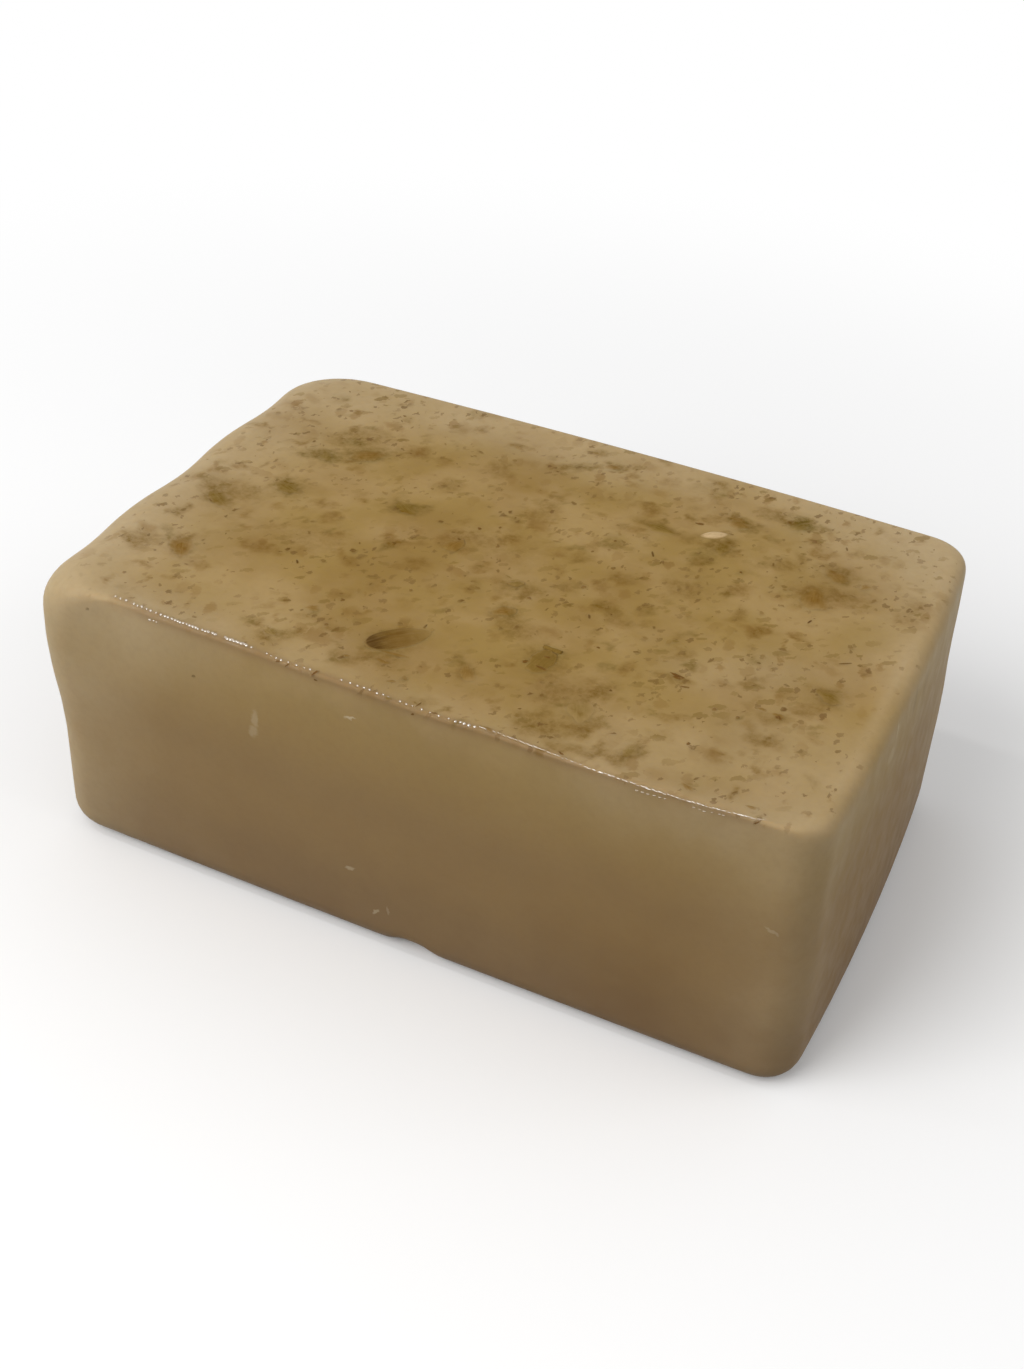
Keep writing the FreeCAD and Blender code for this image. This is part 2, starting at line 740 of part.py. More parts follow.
def soap_bar(strewn):
    """The casting with its pour hollow, its nicked base and a seat for each strewn piece."""
    steps = (
        ("hollowed_bar", pour_hollow()),
        ("nicked_bar", base_nick()),
        ("soap_bar", grouped("seats", strewn)),
    )
    bar = cast_block()
    for name, tool in steps:
        cut = document.addObject("Part::Cut", name)
        cut.Base = bar
        cut.Tool = tool
        bar = cut
    return bar


def check_document():
    """Stop if any object failed to build."""
    for item in document.Objects:
        if "Invalid" in item.State or "Error" in item.State:
            raise RuntimeError(f"{item.Name} failed: {item.State}")


def write_parts(parts):
    """Write each sub-part to a file named after its label."""
    os.makedirs("parts", exist_ok=True)
    for part in parts:
        part.Label = part.Name
        if part.Shape.isNull() or not part.Shape.isValid():
            raise RuntimeError(f"{part.Name} has no valid shape")
    for part in parts:
        part.Shape.exportStep(f"parts/{part.Label}.step")
        print(part.Label, round(part.Shape.Volume, 3), "mm3,", len(part.Shape.Solids), "solids")


def main():
    """Build the bar and everything strewn on it."""
    strewn = [
        flower_bud(),
        folded_leaf(),
        oat_flake(),
        leaf_flakes(),
        petal_flakes(),
        stalk_slivers(),
        husk_crumbs(),
    ]
    bar = soap_bar(strewn)
    document.recompute()
    check_document()
    write_parts([bar] + strewn)


main()
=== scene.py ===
import math
import random

import bpy
import numpy as np
from mathutils import Euler, Matrix, Vector, noise
from mathutils.bvhtree import BVHTree


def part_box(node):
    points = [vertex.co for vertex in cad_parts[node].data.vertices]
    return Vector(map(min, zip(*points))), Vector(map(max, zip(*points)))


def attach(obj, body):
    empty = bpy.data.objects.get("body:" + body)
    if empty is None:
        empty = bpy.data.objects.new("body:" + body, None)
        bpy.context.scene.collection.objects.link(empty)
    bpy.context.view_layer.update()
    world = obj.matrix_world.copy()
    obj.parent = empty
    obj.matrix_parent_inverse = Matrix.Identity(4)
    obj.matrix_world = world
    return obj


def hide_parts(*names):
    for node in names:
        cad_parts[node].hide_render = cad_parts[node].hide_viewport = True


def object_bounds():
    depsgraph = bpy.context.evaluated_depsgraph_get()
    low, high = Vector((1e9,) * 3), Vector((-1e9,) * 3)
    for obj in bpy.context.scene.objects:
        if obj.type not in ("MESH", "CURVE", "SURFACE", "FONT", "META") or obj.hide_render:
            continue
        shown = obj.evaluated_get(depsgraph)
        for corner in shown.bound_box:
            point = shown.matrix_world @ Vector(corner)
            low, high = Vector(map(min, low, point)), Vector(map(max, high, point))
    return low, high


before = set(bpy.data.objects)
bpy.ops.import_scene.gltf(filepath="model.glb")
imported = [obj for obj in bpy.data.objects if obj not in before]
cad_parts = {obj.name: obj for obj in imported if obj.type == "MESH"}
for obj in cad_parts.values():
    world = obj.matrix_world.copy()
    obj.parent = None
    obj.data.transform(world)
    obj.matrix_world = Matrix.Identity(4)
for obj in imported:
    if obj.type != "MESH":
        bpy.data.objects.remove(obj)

# A hand-cast pet shampoo bar: one waxy, slightly clear casting with dried leaf, petal, husk and oat
# strewn on its pour face. Metres, X along the bar, Y from its front to its back and Z upwards.

bl_info = {
    "name": "Pet shampoo bar",
    "version": (1, 0, 0),
    "blender": (4, 5, 0),
    "location": "3D View > Sidebar > Shampoo Bar",
    "description": "Dresses a hand-cast shampoo bar: the soap, what is strewn on it, and its stage",
    "category": "Object",
}

MM = 0.001
BODY = "root"
CAD_LOW, CAD_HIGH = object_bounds()
BAR_LOW, BAR_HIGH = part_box("soap_bar")
LIP_LEVEL = BAR_HIGH.z
POUR_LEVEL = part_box("leaf_flakes")[1].z


def display(red, green, blue):
    """A colour of the screen's 0 to 255 scale as the linear values that shaders take."""
    shares = [channel / 255 for channel in (red, green, blue)]
    return tuple(s / 12.92 if s <= 0.04045 else ((s + 0.055) / 1.055) ** 2.4 for s in shares)


def solid(colour):
    """A colour with its alpha."""
    return (*colour[:3], 1.0)


# ---------------------------------------------------------------- settings

def tint(name, description, *channels):
    """A setting that is a colour, given on the screen's 0 to 255 scale."""
    return bpy.props.FloatVectorProperty(
        name=name, description=description, subtype="COLOR", size=3, default=display(*channels))


def measure(name, description, default, least=0.0):
    """A setting that is a length, given in millimetres."""
    return bpy.props.FloatProperty(
        name=name, description=description, default=default * MM, min=least * MM, unit="LENGTH", precision=5)


def number(name, description, default, **limits):
    """A setting that is a plain number, never less than nothing."""
    return bpy.props.FloatProperty(name=name, description=description, default=default, min=0.0, **limits)


class ShampooSoap(bpy.types.PropertyGroup):
    """The casting."""

    clear: tint("Clear soap", "Colour of the soap between the flakes on the pour face", 150, 122, 67)
    # Painted glow: the paler, greyer colour that light shining through thin soap gives it, painted on.
    veil: tint("Thin soap", "Greyer, paler colour where the soap is thin at its edges", 178, 157, 122)
    cloud: tint("Cloudy soap", "Colour of the paler clouds in the clear soap", 164, 136, 88)
    # The walls deepen from the clear top towards their base: painted shade.
    wall: tint("Walls", "Colour of the soap half way down the walls", 138, 111, 73)
    foot: tint("Foot of the walls", "Deeper colour that the walls reach at the base", 124, 99, 71)
    stain: tint("Brown stain", "Soap stained by the petals that lie under its skin", 114, 80, 20)
    green_stain: tint("Green stain", "Soap stained by the leaf that lies under its skin", 100, 80, 24)
    skin_step: measure("Skin step", "Distance from one column of the skin to the next", 0.36, 0.2)
    wall_step: measure("Wall step", "Distance from one row of the walls to the next", 0.66, 0.2)
    corner_fan: measure("Corner fan", "Radius over which the columns turn round a corner", 15.0, 1.0)
    swell: measure("Swell of the pour face", "Height of the slow waves that setting left", 0.05)
    meniscus: measure("Meniscus", "Width of the slope from the rim down to the pour face", 3.2, 0.1)
    bead_flatness: number("Bead flatness", "Height of a bead on the rim as a share of its width", 0.38, max=1.0)


class ShampooFlecks(bpy.types.PropertyGroup):
    """What is strewn on the pour face."""

    seed: bpy.props.IntProperty(name="Seed", description="Chooses where the small flecks fall", default=11)
    density: number("Flecks to a square metre", "How thickly the small flecks lie", 130000.0)
    smallest: measure("Smallest fleck", "Across the smallest fleck", 0.24)
    largest: measure("Largest fleck", "Across the largest fleck", 1.0)
    husk: tint("Husk", "Dark brown of husk and stalk", 84, 50, 8)
    petal: tint("Petal", "Brown of a dried petal", 114, 78, 20)
    leaf: tint("Leaf", "Olive of a dried leaf", 108, 82, 24)
    oat: tint("Oat", "Pale cream of the rolled oat", 208, 180, 140)


class ShampooStage(bpy.types.PropertyGroup):
    """The floor, the light and the camera."""

    floor: number("Floor", "How bright the floor is where it is seen", 0.97, max=1.0)
    floor_bounce: number("Floor bounce", "How much light the floor throws back on the bar", 0.22, max=1.0)
    sky: number("Sky", "Strength of the even light from all round", 0.54)
    lens: number("Lens", "Focal length for a frame 36 mm high", 46.043)


# ---------------------------------------------------------------- node helpers

FLOAT = "NodeSocketFloat"
COLOUR = "NodeSocketColor"
PLACE = ("Place", "NodeSocketVector", None)
BED = "NodeSocketGeometry"


def feed(tree, socket, value):
    """Link an input to a socket, or set it to a constant."""
    if isinstance(value, bpy.types.NodeSocket):
        tree.links.new(value, socket)
    else:
        socket.default_value = value


def put(tree, kind, inputs=None, **settings):
    """Add a node, set its options and fill or link its inputs, by name or by number."""
    node = tree.nodes.new(kind)
    for name, value in settings.items():
        setattr(node, name, value)
    for key, value in (inputs or {}).items():
        feed(tree, node.inputs[key], value)
    return node


def made(tree, kind, inputs=None, **settings):
    """The first output of a new node."""
    return put(tree, kind, inputs, **settings).outputs[0]


def blended(tree, share, first, second):
    """One colour mixed into another by a share."""
    return put(tree, "ShaderNodeMix", {0: share, 6: first, 7: second}, data_type="RGBA").outputs[2]


def worked(tree, operation, first, second=0.0, clamp=False):
    """The result of a sum on two values."""
    return made(tree, "ShaderNodeMath", {0: first, 1: second}, operation=operation, use_clamp=clamp)


def times(tree, first, second, clamp=False):
    """Two values multiplied."""
    return worked(tree, "MULTIPLY", first, second, clamp)


def vectored(tree, operation, first, second=(0.0, 0.0, 0.0)):
    """The result of a sum on two vectors."""
    return made(tree, "ShaderNodeVectorMath", {0: first, 1: second}, operation=operation)


def length_of(tree, vector):
    """How long a vector is."""
    return put(tree, "ShaderNodeVectorMath", {0: vector}, operation="LENGTH").outputs["Value"]


def wander(tree, place, scale, detail, roughness, reach):
    """A push in a random direction that varies smoothly from place to place."""
    inputs = {"Vector": place, "Scale": scale, "Detail": detail, "Roughness": roughness}
    colour = put(tree, "ShaderNodeTexNoise", inputs).outputs["Color"]
    return vectored(tree, "MULTIPLY", vectored(tree, "SUBTRACT", colour, (0.5, 0.5, 0.5)), reach)


def ramped(tree, value, low, high, to_low=0.0, to_high=1.0):
    """A value read between two limits, easing at both."""
    inputs = {"Value": value, "From Min": low, "From Max": high, "To Min": to_low, "To Max": to_high}
    return made(tree, "ShaderNodeMapRange", inputs, interpolation_type="SMOOTHSTEP")


def cloudy(tree, place, scale, detail=2.0, roughness=0.5):
    """A noise between 0 and 1."""
    return made(tree, "ShaderNodeTexNoise", {
        "Vector": place, "Scale": scale, "Detail": detail, "Roughness": roughness})


def carried(tree, name):
    """A value that the piece's own mesh carries."""
    return put(tree, "ShaderNodeAttribute", attribute_name=name).outputs["Fac"]


def blade_of(tree):
    """The place on a flake that its mesh carries, as shares of its half length and half width."""
    return put(tree, "ShaderNodeAttribute", attribute_name="blade").outputs["Vector"]


def new_group(name, inputs, outputs, kind="ShaderNodeTree"):
    """An empty node group, with its input and output sockets. A bare input title is a number."""
    group = bpy.data.node_groups.new(name, kind)
    for item in inputs:
        title, socket_type, value = item if isinstance(item, tuple) else (item, FLOAT, 0.0)
        socket = group.interface.new_socket(title, in_out="INPUT", socket_type=socket_type)
        if value is not None:
            socket.default_value = value
    for title, socket_type in outputs:
        group.interface.new_socket(title, in_out="OUTPUT", socket_type=socket_type)
    return group, group.nodes.new("NodeGroupInput").outputs, group.nodes.new("NodeGroupOutput").inputs


def place_group(tree, name, inputs):
    """A shared group in a material, with this material's own values."""
    node = put(tree, "ShaderNodeGroup", node_tree=bpy.data.node_groups[name])
    for title, value in inputs.items():
        feed(tree, node.inputs[title], value)
    return node.outputs


def new_material(name):
    """A material with a bare Principled shader, and its tree."""
    material = bpy.data.materials.new(name)
    material.use_nodes = True
    tree = material.node_tree
    tree.nodes.clear()
    shader = put(tree, "ShaderNodeBsdfPrincipled")
    put(tree, "ShaderNodeOutputMaterial", {"Surface": shader.outputs[0]})
    return material, tree, shader


def own_place(tree):
    """Object coordinates, in metres."""
    return tree.nodes.new("ShaderNodeTexCoord").outputs["Object"]


def finish(tree, shader, inputs):
    """Fill a shader's sockets with links or constants."""
    for name, value in inputs.items():
        feed(tree, shader.inputs[name], value)


# ---------------------------------------------------------------- shared shader groups

SOAP_TONE = "Soap tone"
SOFT_SPECKS = "Soft specks"
WAXY_SKIN = "Waxy skin"
WALL_MARK = "Scuff"
DRY_GRAIN = "Dry grain"


def soap_tone_group():
    """Colour of the casting at a place: clear on top, deeper down the walls and on the rounded front rim as painted
    shade, and paler where it is thin as painted glow.
    """
    soap = bpy.context.scene.shampoo_soap
    group, given, result = new_group(
        SOAP_TONE, (PLACE, "Veil", "Stain", "Green", "Edge"), (("Colour", COLOUR),))
    place = given["Place"]
    height = put(group, "ShaderNodeSeparateXYZ", {0: place}).outputs["Z"]
    middle = LIP_LEVEL * 0.55
    high = ramped(group, height, LIP_LEVEL - 5 * MM, LIP_LEVEL - 0.5 * MM, 0.12, 1.0)
    cloud = times(group, ramped(group, cloudy(group, place, 150.0, 3.0), 0.36, 0.66, 0.0, 0.75), high)
    broad = times(group, ramped(group, cloudy(group, place, 62.0, 3.0, 0.6), 0.42, 0.66, 0.0, 0.30), high)
    # The rounded front rim darkened towards the foot colour: painted shade.
    rim_shade = times(group, given["Edge"], 0.6)
    fine = ramped(group, cloudy(group, place, 1300.0, 3.0, 0.6), 0.35, 0.75, 0.0, 0.10)
    # Deeper from the clear top to the wall colour halfway down and to the foot colour at the base: painted shade.
    tone = blended(group, ramped(group, height, LIP_LEVEL * 0.98, middle), solid(soap.clear), solid(soap.wall))
    # Over that: the foot colour towards the base, painted shade; paler clouds and broad stains; the pale colour of
    # thin soap, painted glow; the darkened front rim, painted shade; and a fine mottle.
    for share, colour in ((ramped(group, height, middle, 0.0), soap.foot), (cloud, soap.cloud),
                          (broad, soap.stain), (given["Veil"], soap.veil), (rim_shade, soap.foot), (fine, soap.foot)):
        tone = blended(group, share, tone, solid(colour))
    stain = blended(group, given["Green"], solid(soap.stain), solid(soap.green_stain))
    broken = ramped(group, cloudy(group, place, 1900.0, 4.0, 0.7), 0.36, 0.64, 0.70, 1.18)
    tone = blended(group, times(group, given["Stain"], broken, clamp=True), tone, stain)
    group.links.new(tone, result["Colour"])


def soft_specks_group():
    """Specks with soft edges, as they look from above under a skin of soap."""
    group, given, result = new_group(
        SOFT_SPECKS, (PLACE, "Turn", "Scale", "Stretch", "Cover", "Soft"), (("Mask", FLOAT),))
    push = wander(group, given["Place"], 1100.0, 4.0, 0.65, (1.5 * MM,) * 3)
    place = made(group, "ShaderNodeVectorRotate", {
        "Vector": vectored(group, "ADD", given["Place"], push), "Angle": given["Turn"]}, rotation_type="Z_AXIS")
    stretched = made(group, "ShaderNodeCombineXYZ", {0: given["Stretch"], 1: 1.0, 2: 0.0})
    cells = put(group, "ShaderNodeTexVoronoi", {
        "Vector": vectored(group, "MULTIPLY", place, stretched), "Scale": given["Scale"]},
        voronoi_dimensions="2D")
    chance = put(group, "ShaderNodeSeparateColor", {0: cells.outputs["Color"]}).outputs
    radius = worked(group, "ADD", times(group, chance[1], 0.42), 0.06)
    falls = worked(group, "LESS_THAN", chance[0], given["Cover"])
    inner = worked(group, "SUBTRACT", radius, given["Soft"])
    mask = ramped(group, cells.outputs["Distance"], radius, inner)
    faint = worked(group, "ADD", times(group, chance[2], 0.65), 0.35)
    group.links.new(times(group, times(group, mask, falls), faint), result["Mask"])


def wall_mark_group():
    """One pale or dark mark on a wall, a scuff or the painted light and shade of a dent: an ellipse with a frayed
    edge, turned about the Y axis.
    """
    group, given, result = new_group(WALL_MARK, (
        PLACE, ("Middle", "NodeSocketVector", None), ("Reach", "NodeSocketVector", None), "Turn"),
        (("Mask", FLOAT),))
    fray = wander(group, given["Place"], 1500.0, 3.0, 0.5, (0.8 * MM,) * 3)
    off = vectored(group, "ADD", vectored(group, "SUBTRACT", given["Place"], given["Middle"]), fray)
    off = made(group, "ShaderNodeVectorRotate", {"Vector": off, "Angle": given["Turn"]}, rotation_type="Y_AXIS")
    far = length_of(group, vectored(group, "DIVIDE", off, given["Reach"]))
    group.links.new(ramped(group, far, 1.0, 0.45), result["Mask"])


def waxy_skin_group():
    """Height of the waxy skin, from slow ripples and a fine grain, and how its gloss varies."""
    group, given, result = new_group(
        WAXY_SKIN, (PLACE, "Ripple", "Grain"), (("Height", FLOAT), ("Patch", FLOAT)))
    ripple = times(group, cloudy(group, given["Place"], 260.0, 2.0), given["Ripple"])
    grain = times(group, cloudy(group, given["Place"], 2600.0, 3.0, 0.6), given["Grain"])
    group.links.new(worked(group, "ADD", ripple, grain), result["Height"])
    group.links.new(cloudy(group, given["Place"], 420.0, 3.0, 0.55), result["Patch"])


def dry_grain_group():
    """Fibres that run along a dried piece, and the darker blotches of its drying."""
    group, given, result = new_group(
        DRY_GRAIN, (("Blade", "NodeSocketVector", None), "Fibres"), (("Fibre", FLOAT), ("Blotch", FLOAT)))
    across = made(group, "ShaderNodeCombineXYZ", {0: 1.2, 1: given["Fibres"], 2: 1.0})
    place = vectored(group, "MULTIPLY", given["Blade"], across)
    group.links.new(cloudy(group, place, 1.0, 3.0, 0.6), result["Fibre"])
    group.links.new(cloudy(group, given["Blade"], 3.2, 3.0, 0.6), result["Blotch"])


# ---------------------------------------------------------------- stains under the skin

# Larger stains: place along and across the bar, length, width and turn in millimetres and degrees,
# how strong, and how green.
STAINS = (
    (-14.8, 2.8, 3.8, 2.8, 0, 0.55, 0.6), (22.0, 20.7, 3.0, 2.4, 0, 0.75, 1.0),
    (16.5, 17.7, 3.8, 2.0, 0, 0.5, 0.6), (9.5, 12.9, 5.2, 2.0, 0, 0.5, 0.4),
    (-33.0, -4.9, 6.2, 2.0, -30, 0.45, 0.5), (-30.3, -14.9, 5.0, 2.0, -60, 0.5, 0.3),
    (-35.5, -16.4, 3.0, 1.8, 0, 0.35, 0.4), (-27.4, 0.3, 4.2, 3.4, 0, 0.6, 0.6),
    (33.5, -7.1, 3.2, 3.6, 0, 0.5, 0.3), (32.3, -10.0, 2.4, 2.8, 0, 0.35, 0.2),
    (15.0, -17.0, 2.2, 5.0, -20, 0.5, 0.4), (16.2, -22.0, 2.0, 4.4, -25, 0.45, 0.4),
    (20.5, -24.0, 1.6, 4.2, -20, 0.45, 0.4), (-15.0, -24.3, 2.6, 2.0, 0, 0.45, 0.3),
    (28.2, 13.4, 3.6, 3.0, 0, 0.5, 0.4), (0.5, 22.4, 2.2, 1.6, 0, 0.4, 0.5),
    (-10.2, 20.9, 2.4, 1.6, 0, 0.4, 0.3), (12.0, 24.2, 2.4, 1.6, 0, 0.4, 0.3),
    (-7.5, -1.1, 3.2, 3.0, 0, 0.4, 0.0), (-12.5, -4.4, 2.4, 2.0, 0, 0.4, 0.2),
    (2.0, -9.6, 2.6, 2.4, 0, 0.4, 0.3), (24.7, -0.3, 2.2, 2.0, 0, 0.45, 0.2),
    (-19.5, 13.9, 3.2, 3.0, 0, 0.4, 0.2), (-10.0, 14.9, 3.2, 3.0, 0, 0.35, 0.3),
    (-4.0, 18.9, 4.2, 2.0, 35, 0.45, 0.4), (7.0, 15.9, 3.2, 2.0, 0, 0.4, 0.2),
    (-23.5, -11.6, 4.2, 2.0, 0, 0.4, 0.1), (-9.0, -6.1, 3.2, 2.0, 0, 0.4, 0.1),
    (27.4, 8.0, 4.8, 4.4, 0, 0.45, 0.1), (-23.4, 10.6, 6.4, 3.6, 35, 0.5, 0.5),
    (-27.4, 7.8, 4.0, 3.0, 0, 0.5, 0.8), (16.4, 12.4, 3.4, 3.8, 0, 0.6, 0.4),
    (8.6, -14.6, 4.6, 4.8, 20, 0.42, 0.4), (-4.6, -18.9, 7.4, 4.2, 40, 0.28, 0.3),
    (3.4, -20.0, 2.2, 2.8, 0, 0.4, 0.1), (-4.0, -22.0, 4.6, 2.4, 10, 0.25, 0.3),
    (11.8, -18.5, 5.4, 5.5, 30, 0.36, 0.3), (12.5, -23.8, 5.2, 4.0, 20, 0.42, 0.3),
    (16.0, -25.8, 4.4, 1.8, 0, 0.35, 0.3), (-26.0, 13.4, 8.0, 4.2, 30, 0.36, 0.3),
    (-33.2, -3.4, 5.0, 3.0, -20, 0.32, 0.4), (-34.0, -15.4, 4.5, 3.2, -50, 0.38, 0.3),
    (-6.0, -23.2, 4.4, 2.6, 20, 0.36, 0.3), (1.8, -5.0, 5.0, 3.4, 10, 0.42, 0.5),
    (15.6, 3.1, 4.4, 3.2, 0, 0.40, 0.3), (19.6, 20.8, 4.4, 3.0, 0, 0.38, 0.5),
    (-20.5, -7.5, 9.0, 6.0, 20, 0.22, 0.2), (-3.0, 1.5, 10.0, 7.0, 0, 0.20, 0.2),
    (-6.3, 0.8, 4.6, 2.8, 0, 0.30, 0.2), (4.4, -11.4, 5.0, 3.0, 0, 0.36, 0.3), (30.8, 9.5, 4.4, 3.2, 0, 0.32, 0.2),
    (22.5, 12.0, 4.6, 2.8, 0, 0.24, 0.3), (13.2, 12.0, 3.2, 2.2, 0, 0.30, 0.3), (-30.2, -3.0, 4.4, 3.2, 0, 0.34, 0.4),
    (5.6, -2.4, 3.2, 2.8, 0, 0.30, 0.3), (1.6, -26.0, 3.4, 1.6, 0, 0.28, 0.2), (36.8, 10.5, 3.0, 5.0, 0, 0.26, 0.3),
    (20.4, -11.4, 3.0, 1.8, -10, 0.4, 0.2), (30.3, -12.4, 2.4, 2.0, 0, 0.4, 0.2),
    (10.0, 1.5, 3.4, 2.6, 15, 0.35, 0.2), (-2.5, 8.5, 3.6, 2.6, -20, 0.35, 0.2),
    (4.5, 3.0, 3.0, 2.2, 30, 0.35, 0.2), (-13.0, 9.0, 3.0, 2.4, 10, 0.3, 0.3),
    (20.0, 5.5, 2.8, 2.2, 0, 0.35, 0.2), (12.5, -5.5, 2.6, 2.0, 20, 0.3, 0.2),
)
# How many smaller stains lie between them, how strongly all of them colour the soap, and where they fall.
LOOSE_STAINS = 340
STAIN_DEPTH = 1.35
STAIN_SEED = 5
# Blender shifts its vector noise by the clock, unless it is given a seed.
WANDER_SEED = 5
# How far the strewn pieces reach from the origin: to the left, to the right, and to the front and back.
STREWN_REACH = (38.5, 38.0, 27.5)


def loose_stains():
    """The many smaller stains between the larger ones, thinner towards both ends of the bar."""
    chance = random.Random(STAIN_SEED)
    found = []
    while len(found) < LOOSE_STAINS:
        along = chance.uniform(BAR_LOW.x, BAR_HIGH.x) / MM
        across = chance.uniform(BAR_LOW.y, BAR_HIGH.y) / MM
        if chance.random() > strewn_thickness(np.array([along]), np.array([across]))[0]:
            continue
        length = chance.uniform(0.7, 2.4)
        found.append((along, across, length, length * chance.uniform(0.45, 1.0), chance.uniform(0, 180),
                      chance.uniform(0.12, 0.45), chance.random() ** 2))
    return found


def within(value, start, end, ease):
    """1 between two limits, falling to 0 at each over a distance inside it."""
    return np.clip((value - start) / ease, 0, 1) * np.clip((end - value) / ease, 0, 1)


def strewn_thickness(along, across):
    """How thickly the plant pieces lie at a place, from 0 to 1. Millimetres."""
    left, right, off = STREWN_REACH
    return within(along, -left, right, 9) * np.clip((across + off) / 5, 0, 1) * np.clip((off - across) / 4, 0, 1)


def wandered(points):
    """Points moved about by two noises, so that what is drawn round them isn't regular."""
    noise.seed_set(WANDER_SEED)
    slow = np.array([noise.noise_vector(Vector(p) * 0.55)[:2] for p in points])
    quick = np.array([noise.noise_vector(Vector(p) * 1.7)[:2] for p in points])
    return points[:, :2] + 1.1 * slow + 0.45 * quick


def stain_values(points):
    """How strongly the soap is stained at points in metres, and how green each stain is."""
    places = wandered(points / MM)
    mottle = 1 + 0.42 * np.array([noise.noise(Vector(p) * 1.3) for p in points / MM])
    strength = np.zeros(len(points))
    green = np.zeros(len(points))
    on_top = np.clip((points[:, 2] - (POUR_LEVEL - 0.8 * MM)) / (0.8 * MM), 0, 1)
    for along, across, length, width, turn, depth, tint in (*STAINS, *loose_stains()):
        cosine, sine = math.cos(math.radians(turn)), math.sin(math.radians(turn))
        offset_x, offset_y = places[:, 0] - along, places[:, 1] - across
        near = (np.abs(offset_x) < length * 1.4) & (np.abs(offset_y) < length * 1.4)
        u = (offset_x * cosine + offset_y * sine)[near] / (length / 2)
        v = (offset_y * cosine - offset_x * sine)[near] / (width / 2)
        amount = np.clip(depth * STAIN_DEPTH * mottle[near], 0, 0.95) * np.exp(-((u * u + v * v) ** 1.7))
        green[near] = (green[near] * strength[near] + tint * amount) / (strength[near] + amount + 1e-9)
        strength[near] = 1 - (1 - strength[near]) * (1 - amount)
    return np.clip(strength * on_top, 0, 1), np.clip(green, 0, 1)


# The soap's painted glow: where it is thin, at the sides, the rim and the upright corners, it is painted paler and
# greyer.
# Each side of the bar: how far in from it the soap looks thin, in millimetres, and how strongly.
THIN_SIDES = ((9.0, 1.0), (7.0, 0.6), (4.0, 0.35), (5.0, 0.55))
# Each upright corner: which two sides meet there, how far from it the soap looks thin, how strongly, and what
# share of that is left at the base.
THIN_CORNERS = ((0, 2, 11.0, 1.0, 0.75), (1, 2, 6.0, 0.70, 0.55), (1, 3, 12.0, 1.0, 0.10), (0, 3, 11.0, 0.85, 0.6))
# How far below the rim the painted glow fades, in millimetres, and how much painted glow the walls have everywhere.
RIM_FADE = 5.5
WALL_GLOW = 0.10
# Patches of painted glow on the pour face, or of painted shade where the strength is less than nothing: place,
# half lengths along and across in millimetres, and how strong.
PALE_PATCHES = ((27.0, -21.0, 12.0, 5.0, 0.34), (-29.0, 18.0, 8.0, 7.0, 0.25), (-3.5, 21.8, 10.5, 4.5, 0.44),
                (-16.0, -21.0, 10.0, 4.0, 0.2), (-18.5, 22.6, 5.5, 4.5, 0.44),
                (27.5, -6.0, 4.0, 3.5, 0.35), (29.3, -15.4, 4.0, 3.0, 0.30), (38.2, -3.0, 0.6, 16.0, 0.25),
                (37.3, -5.5, 2.2, 5.0, -0.50), (22.0, -9.4, 4.5, 3.0, 0.28))
# Patches of painted glow on the front wall, or of painted shade if less than nothing: place along the bar and below
# the rim, half lengths, and how strong.
WALL_PATCHES = ((27.0, 1.8, 8.5, 4.2, 0.60), (-29.0, 2.4, 10.0, 5.0, 0.52), (-31.5, 1.4, 7.0, 3.0, 0.35),
                (25.0, 25.0, 10.0, 14.0, -0.12))
# The rounded front edge, painted darker as shade: how far its middle lies out and down from the rim line, its half
# width, and from where to where along the bar it is darkened.
RIM_BAND_OFF = 0.15
RIM_BAND = 0.60
RIM_BAND_RUN = (-31.0, 35.0)


def rim_band(points):
    """1 on the rounded edge of the front rim, which is painted darker as shade, falling to 0 on both sides of it."""
    out = rim_at(points[:, 0]) - points[:, 1] - RIM_BAND_OFF * MM
    down = LIP_LEVEL - points[:, 2] - RIM_BAND_OFF * MM
    return within(points[:, 0] / MM, *RIM_BAND_RUN, 4) * np.exp(-(np.hypot(out, down) / (RIM_BAND * MM)) ** 2)


def over(veil, more):
    """One layer of painted glow seen through another."""
    return 1 - (1 - veil) * (1 - more)


